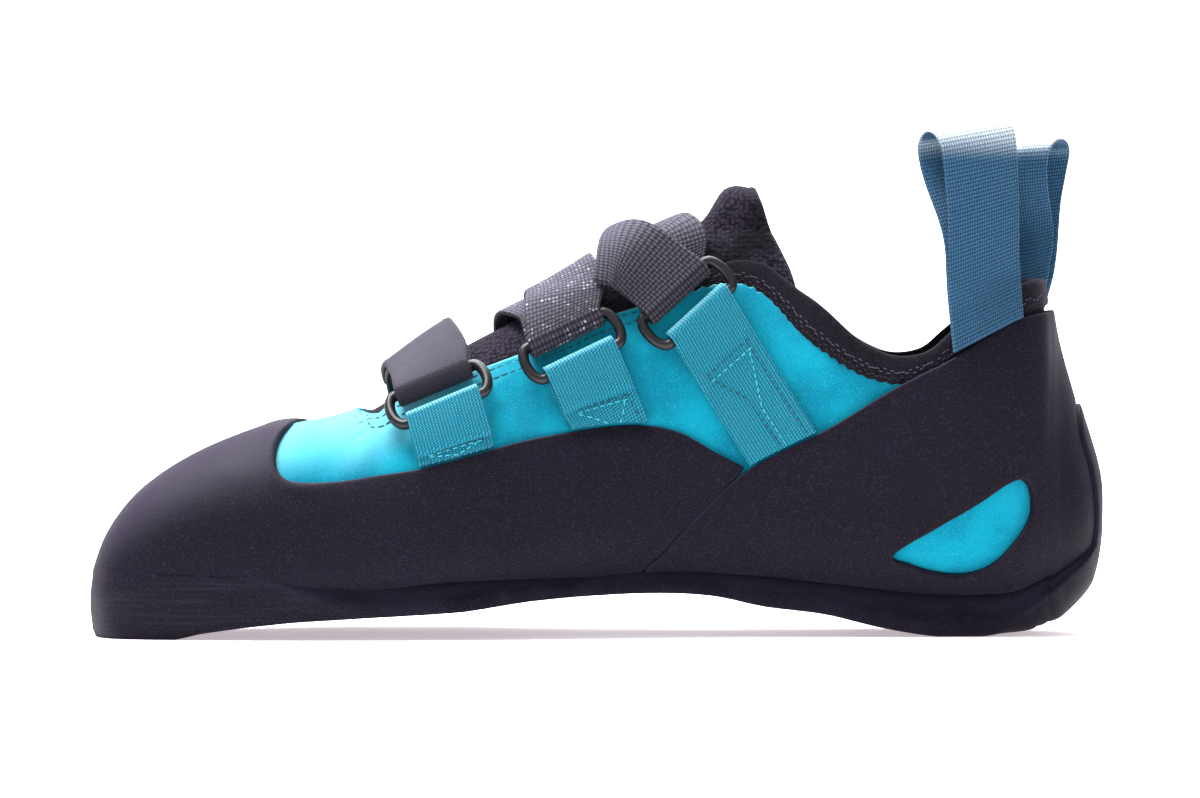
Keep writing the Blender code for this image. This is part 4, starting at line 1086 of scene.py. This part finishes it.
strapFinish = {"front": twill, "middle": glintBasket, "rear": basket}
tabRows, strapRows = {}, {}
for name, closure in closures.items():
    centre, bar, up, normal = ringFrame(closure)
    reach = (shoe["ringHeight"] - shoe["ringWire"]) / 2
    ring = tube("ring" + name.capitalize(), ringPoints(centre, bar, up, reach), shoe["ringWire"] / 2, satinBlack)
    keep(ring, "ring", "ring_" + name)
    bottom = shoe["upperWall"] + shoe["layerGap"] + shoe["strapWall"] / 2
    turn = shoe["ringWire"] / 2 + shoe["layerGap"] + shoe["strapWall"] / 2
    upperBar = centre + up * reach
    legs = {}
    for leg, level, steps in (("under", bottom, 64), ("over", bottom + shoe["strapWall"] + shoe["layerGap"], 44)):
        path = [last.nearest(upperBar)[0]] + [last.atAngle(*place) for place in closure[leg]]
        overBar = shoe["ringWire"] / 2 if leg == "over" else 0.0
        lift = closure["lift"] if leg == "over" else 0.0

        def height(gone, level=level, overBar=overBar, lift=lift, rise=closure["rise"]):
            past = float(smoothStep(3 * shoe["ringWire"], 6 * shoe["ringWire"], gone))
            bridge = float(smoothStep(3 * shoe["ringWire"], shoe["strapWidth"], gone)
                           * smoothStep(3.0, 1.8, gone / shoe["strapWidth"]))
            end = float(smoothStep(0.3 * shoe["strapWidth"], 0.8 * shoe["strapWidth"], gone))
            return level + overBar * (1 - past) + lift * end + rise * bridge

        legs[leg] = legRows(path, bar, shoe["strapWidth"], height, steps)
    rows = legs["under"][::-1] + foldRows(upperBar, bar, -up, normal, turn, shoe["strapWidth"]) + legs["over"]
    strapRows[name] = legs["over"]
    strap = bandMesh("strap" + name.capitalize(), rows, shoe["strapWall"], strapFinish[name])
    keep(strap, "webbing", "strap_" + name)
    tapeBottom = shoe["upperWall"] + shoe["layerGap"] + shoe["tapeWall"] / 2
    tapeTop = tapeBottom + shoe["tapeWall"] + shoe["layerGap"]
    turn = shoe["ringWire"] / 2 + shoe["layerGap"] + shoe["tapeWall"] / 2
    lowerBar = centre - up * reach
    under = keeperRows(closure, lowerBar, bar, tapeBottom, tapeBottom)
    over = keeperRows(closure, lowerBar, bar, tapeTop + shoe["ringWire"] / 2, tapeTop)
    rows = under[::-1] + foldRows(lowerBar, bar, up, normal, turn, shoe["tapeWidth"]) + over
    tabRows[name] = over
    tab = bandMesh("tab" + name.capitalize(), rows, shoe["tapeWall"], tealTape)
    keep(tab, "teal_tape", "ring_tab_" + name)
print("closures made")


# Rows along each leg of a pull loop, and round its top
legSteps, archSteps = 30, 16


def loopRows(loop):
    """Rows of a pull loop: up on its outer side, over in a soft arch and down again next to the collar."""
    (baseFront, baseRear), (topFront, topRear) = loop["base"], loop["top"]
    near = shoe["bindingWall"] + shoe["layerGap"] + shoe["loopWall"] / 2
    far = near + shoe["loopWall"] + shoe["layerGap"]
    depthSize = shoe["loopDepth"]
    turnAt = 0.90
    turned = Vector((math.sin(shoe["loopTurn"]), loop["side"] * math.cos(shoe["loopTurn"]), 0))

    def beside(across, rise, depth):
        base = [baseFront[k] + (baseRear[k] - baseFront[k]) * across for k in (0, 1)]
        top = [topFront[k] + (topRear[k] - topFront[k]) * across for k in (0, 1)]
        along, up = (base[k] + (top[k] - base[k]) * rise for k in (0, 1))
        collar, normal = last.fromSide(min(along, 0.918), min(up, 0.86), loop["side"])
        out = Vector((normal.x, normal.y, 0)).normalized()
        out = out.lerp(turned, float(smoothStep(0.20, 0.70, rise))).normalized()
        spot = Vector((sideX(along), collar.y, up * shoe["instep"])) + out * (depth / normal.dot(out))
        if depth >= near:
            place, normal = last.nearest(spot)
            spot += normal * max(0.0, depth - (spot - place).dot(normal))
        return spot

    shares = [(place + 1) / 2 for place in bandPlaces]
    rows = [[beside(across, turnAt * i / legSteps, far) for across in shares] for i in range(legSteps + 1)]
    for i in range(1, archSteps):
        angle = math.pi * i / archSteps
        depth = far - depthSize / 2 * (1 - math.cos(angle))
        rise = turnAt + (1 - turnAt) * math.sin(angle)
        rows.append([beside(across, rise, depth) for across in shares])
    for i in range(legSteps + 1):
        share = i / legSteps
        depth = far - depthSize + (near - far + depthSize) * float(smoothStep(0, 0.55, share))
        rows.append([beside(across, turnAt * (1 - share), depth) for across in shares])
    return rows


loopGrids = {}
for name, loop in pullLoops.items():
    loopGrids[name] = loopRows(loop)
    keep(bandMesh("loop" + name.capitalize(), loopGrids[name], shoe["loopWall"], loopTape), "loop_tape",
         "pull_loop_" + name)
print("pull loops made")

# Stitches: short rods of thread along lines, made by one node tree
stitchLook = {"length": 1.7 * mm, "pitch": 2.4 * mm, "thickness": 0.34 * mm, "seed": 7}


def stitchTree():
    tree = bpy.data.node_groups.new("stitches", "GeometryNodeTree")
    sockets = {}
    tree.interface.new_socket("Geometry", in_out="INPUT", socket_type="NodeSocketGeometry")
    for name, kind in (("Pitch", "Float"), ("Length", "Float"), ("Thickness", "Float"), ("Seed", "Int"),
                       ("Thread", "Material")):
        made = tree.interface.new_socket(name, in_out="INPUT", socket_type="NodeSocket" + kind)
        sockets[name] = made.identifier
    tree.interface.new_socket("Geometry", in_out="OUTPUT", socket_type="NodeSocketGeometry")

    def add(kind, links=None, **settings):
        made = tree.nodes.new(kind)
        for key, value in settings.items():
            setattr(made, key, value)
        for key, value in (links or {}).items():
            if isinstance(value, bpy.types.NodeSocket):
                tree.links.new(value, made.inputs[key])
            else:
                made.inputs[key].default_value = value
        return made

    start = add("NodeGroupInput").outputs
    curve = add("GeometryNodeMeshToCurve", {0: start["Geometry"]}).outputs[0]
    points = add("GeometryNodeCurveToPoints", {"Curve": curve, "Length": start["Pitch"]}, mode="LENGTH").outputs
    rod = add("GeometryNodeMeshUVSphere", {"Segments": 8, "Rings": 8, "Radius": 0.5}).outputs[0]
    thickness = start["Thickness"]
    size = add("ShaderNodeCombineXYZ", {0: thickness, 1: thickness, 2: start["Length"]}).outputs[0]
    spread = {"Min": (0.85, 0.85, 0.85), "Max": (1.1, 1.1, 1.08), "Seed": start["Seed"]}
    vary = add("FunctionNodeRandomValue", spread, data_type="FLOAT_VECTOR").outputs[0]
    scale = add("ShaderNodeVectorMath", {0: size, 1: vary}, operation="MULTIPLY").outputs[0]
    links = {"Points": points["Points"], "Instance": rod, "Rotation": points["Rotation"], "Scale": scale}
    rods = add("GeometryNodeInstanceOnPoints", links).outputs[0]
    real = add("GeometryNodeRealizeInstances", {0: rods}).outputs[0]
    done = add("GeometryNodeSetMaterial", {"Geometry": real, "Material": start["Thread"]}).outputs[0]
    add("NodeGroupOutput", {0: done})
    return tree, sockets


stitchNodes, stitchSockets = stitchTree()


def addStitches(name, paths, finish, pitch=1.0, length=1.0, thickness=1.0):
    """Stitches along several paths. pitch, length and thickness are shares of the usual ones."""
    points, edges = [], []
    for path in paths:
        edges += [(len(points) + i, len(points) + i + 1) for i in range(len(path) - 1)]
        points += [tuple(p) for p in path]
    mesh = bpy.data.meshes.new(name + "Line")
    mesh.from_pydata(points, edges, [])
    line = bpy.data.objects.new(name + "Line", mesh)
    bpy.context.scene.collection.objects.link(line)
    modifier = line.modifiers.new("stitches", "NODES")
    modifier.node_group = stitchNodes
    for key, value in (("Pitch", stitchLook["pitch"] * pitch), ("Length", stitchLook["length"] * length),
                       ("Thickness", stitchLook["thickness"] * thickness), ("Seed", stitchLook["seed"]),
                       ("Thread", finish)):
        modifier[stitchSockets[key]] = value
    bpy.context.view_layer.update()
    graph = bpy.context.evaluated_depsgraph_get()
    made = bpy.data.meshes.new_from_object(line.evaluated_get(graph))
    made.shade_smooth()
    obj = bpy.data.objects.new(name, made)
    bpy.context.scene.collection.objects.link(obj)
    line.modifiers.remove(modifier)
    bpy.data.objects.remove(line)
    return keep(obj, None)


def beyondLine(line, away, fromAlong, toAlong, side, height, step=0.8 * mm, wave=None):
    """Points over the foot beside a side line: away under it, at this height over the last. wave is a function
    of the count that gives further distance."""
    points = np.array(line.line)
    arc = np.concatenate([[0], np.cumsum(np.linalg.norm(np.diff(points, axis=0), axis=1))])
    made = []
    for k, place in enumerate(np.arange(0, arc[-1], step)):
        x, z = (np.interp(place, arc, points[:, axis]) for axis in (0, 1))
        aheadX, aheadZ = (np.interp(place + 0.3 * mm, arc, points[:, axis]) for axis in (0, 1))
        if not sideX(fromAlong) < x < sideX(toAlong) or (x < sideX(0.276) and z > 0.51 * shoe["instep"]):
            continue
        size = max(math.hypot(aheadX - x, aheadZ - z), 1e-9)
        off = away + (wave(k) if wave else 0.0)
        x, z = x + (aheadZ - z) / size * off, z - (aheadX - x) / size * off
        origin = Vector((x, side * 0.2, z))
        hit, _, face, _ = last.tree.ray_cast(origin, Vector((0, -side, 0)))
        if hit is None:
            continue
        made.append(hit + last.smoothNormal(hit, face) * (height(x) if callable(height) else height))
    return made


throatHeight = shoe["upperWall"] - 0.10 * mm
throatRows = [beyondLine(lines["upper"], away, 0.2621, 0.565, side, throatHeight)
              for side in (-1, 1) for away in upperLook["grooves"]]


def overThroat(away):
    """Points of a stitch row that turns round the front of the throat, over the top of the foot."""
    front, half = sideX(0.262), 8 * mm
    cut = sectionsAt(np.linspace(0, 1, 200))
    crest = float(np.interp(front, cut["x"], cut["crest"]))
    made = []
    for turn in np.linspace(-1.35, -0.95, 8):
        x = front + half * 0.6 - (half * 0.6 + away) * math.cos(turn)
        origin = Vector((x, crest + (half + away) * math.sin(turn), 0.2))
        hit, _, face, _ = last.tree.ray_cast(origin, Vector((0, 0, -1)))
        made.append(hit + last.smoothNormal(hit, face) * throatHeight)
    return made


throatRows += [overThroat(away) for away in upperLook["grooves"]]
addStitches("throatStitches", throatRows, darkThread, pitch=0.9, length=1.0, thickness=1.1)


def bindingHeight(x):
    share = float(smoothStep(0.675, 0.715, (x - sideX(0)) / shoeLength))
    return thin + (shoe["bindingWall"] - thin) * share + 0.05 * mm


# Two zigzag rows along the collar: distance over the upper's edge, half height, thread, length and thickness
zigzagRows = {"bindingZigzag": (-1.75 * mm, 0.55 * mm, greyThread, 0.62, 0.75),
              "pinkedEdgeStitches": (-0.2 * mm, 0.45 * mm, blackThread, 0.55, 0.8)}
for name, (away, half, thread, length, thickness) in zigzagRows.items():
    zigzags = [beyondLine(lines["upper"], away, 0.575, 0.93, side, bindingHeight, 1.15 * mm,
                          lambda k, half=half: half if k % 2 else -half) for side in (-1, 1)]
    addStitches(name, zigzags, thread, pitch=0.55, length=length, thickness=thickness)


def bandPath(rows, ends, wall, steps=24, proud=0.16 * mm):
    """Points on a band's outer face along straight lines between ends, each (across from -1 to 1, share along)."""
    grid = np.array([[tuple(p) for p in row] for row in rows])
    path = []
    for (startAcross, startAlong), (endAcross, endAlong) in zip(ends, ends[1:]):
        for i in range(steps + 1):
            across = startAcross + (endAcross - startAcross) * i / steps
            place = (startAlong + (endAlong - startAlong) * i / steps) * (len(grid) - 1)
            k = min(int(place), len(grid) - 2)
            row = grid[k] + (grid[k + 1] - grid[k]) * (place - k)
            spot = Vector([float(np.interp(across, bandPlaces, row[:, axis])) for axis in range(3)])
            path.append(spot + last.nearest(spot)[1] * (wall / 2 + proud))
    return path


# Stitches on the keeper tapes: a dark and a pale row across, then rows that run down in a point or along an edge.
# Each corner is a place across the tape, from -1 to 1, and a share of the way down it
tabStitches = {
    "front": {"dark": [[(-0.60, 0.30), (0.66, 0.30)], [(0.74, 0.34), (0.80, 0.95)]],
              "pale": [[(-0.62, 0.43), (0.62, 0.43)], [(-0.62, 0.58), (0.02, 0.95), (0.52, 0.52)]]},
    "middle": {"dark": [[(-0.55, 0.32), (0.64, 0.32)], [(0.74, 0.34), (0.80, 0.96)]],
               "pale": [[(-0.60, 0.42), (0.62, 0.42)], [(-0.62, 0.52), (-0.10, 0.98)],
                        [(0.58, 0.48), (0.30, 0.97)]]},
    "rear": {"dark": [[(-0.66, 0.13), (0.70, 0.13)], [(-0.66, 0.17), (-0.10, 0.50), (-0.02, 0.96)],
                      [(0.70, 0.17), (0.76, 0.96)]],
             "pale": [[(-0.62, 0.19), (0.64, 0.19)], [(0.60, 0.22), (0.10, 0.62), (0.12, 0.96)]]},
}
for tone, finish in (("dark", darkThread), ("pale", paleThread)):
    paths = [bandPath(tabRows[name], ends, shoe["tapeWall"]) for name, tab in tabStitches.items()
             for ends in tab[tone]]
    addStitches("tab" + tone.capitalize() + "Stitches", paths, finish, pitch=0.72, length=0.80, thickness=1.0)
strapEdges = [bandPath(strapRows["front"], [(across, 0.0), (across, 0.95)], shoe["strapWall"])
              for across in (-0.86, 0.86)]
addStitches("strapEdgeStitches", strapEdges, greyThread, pitch=0.8, length=0.8, thickness=0.7)
# Rows of stitches across the foot of each pull loop, as shares of its outer leg
loopRowPlaces = {"inner": (0.05, 0.10, 0.15, 0.20), "outer": (0.06, 0.13)}
loopEnds = [bandPath(loopGrids[name][:legSteps + 1], [(-0.9, place), (0.92, place)], shoe["loopWall"])
            for name, places in loopRowPlaces.items() for place in places]
addStitches("loopBaseStitches", loopEnds, darkThread, pitch=0.8, length=0.8, thickness=0.8)
print("stitches made")


# Studio: pale floor that curves up on the outer side, white surroundings and soft lights. From that side it hides
# the shoe, and a view from there needs studioFloor left out
studioLook = {"floor": "fbfafc", "glowColour": "fff2fa", "glow": 0.48, "world": "faf8ff", "worldStrength": 0.40,
              "key": 50, "fill": 3.0, "rim": 22}


def makeStudio():
    finish = newFinish("paleFloor", studioLook["floor"], 0.6, specular=0.2)
    shader = finish.node_tree.nodes["Principled BSDF"]
    shader.inputs["Emission Color"].default_value = linear(studioLook["glowColour"])
    shader.inputs["Emission Strength"].default_value = studioLook["glow"]
    profile = [(-3.0, 0.0), (0.9, 0.0)] + [(0.9 + 0.9 * math.sin(a), 0.9 - 0.9 * math.cos(a))
                                           for a in np.linspace(0.1, math.pi / 2, 16)] + [(1.8, 4.0)]
    points = [(x, y, z) for x in (-5.0, 5.0) for y, z in profile]
    count = len(profile)
    faces = [(i, count + i, count + i + 1, i + 1) for i in range(count - 1)]
    floor = makeMesh("studioFloor", points, faces, finish)
    world = bpy.data.worlds.new("studio")
    world.use_nodes = True
    back = world.node_tree.nodes["Background"]
    back.inputs[0].default_value = linear(studioLook["world"])
    back.inputs[1].default_value = studioLook["worldStrength"]
    bpy.context.scene.world = world
    for name, place, size, power in (("keyLight", (-0.45, 0.02, 1.3), 0.8, studioLook["key"]),
                                     ("fillLight", (0.3, -1.2, 0.7), 1.0, studioLook["fill"]),
                                     ("rimLight", (0.2, 0.8, 1.2), 0.8, studioLook["rim"])):
        lamp = bpy.data.lights.new(name, "AREA")
        lamp.size = size
        lamp.energy = power
        holder = bpy.data.objects.new(name, lamp)
        holder.location = place
        holder.rotation_euler = (Vector((0, 0, 0.05)) - Vector(place)).to_track_quat("-Z", "Y").to_euler()
        bpy.context.scene.collection.objects.link(holder)


makeStudio()
bpy.context.scene.view_settings.view_transform = "Standard"
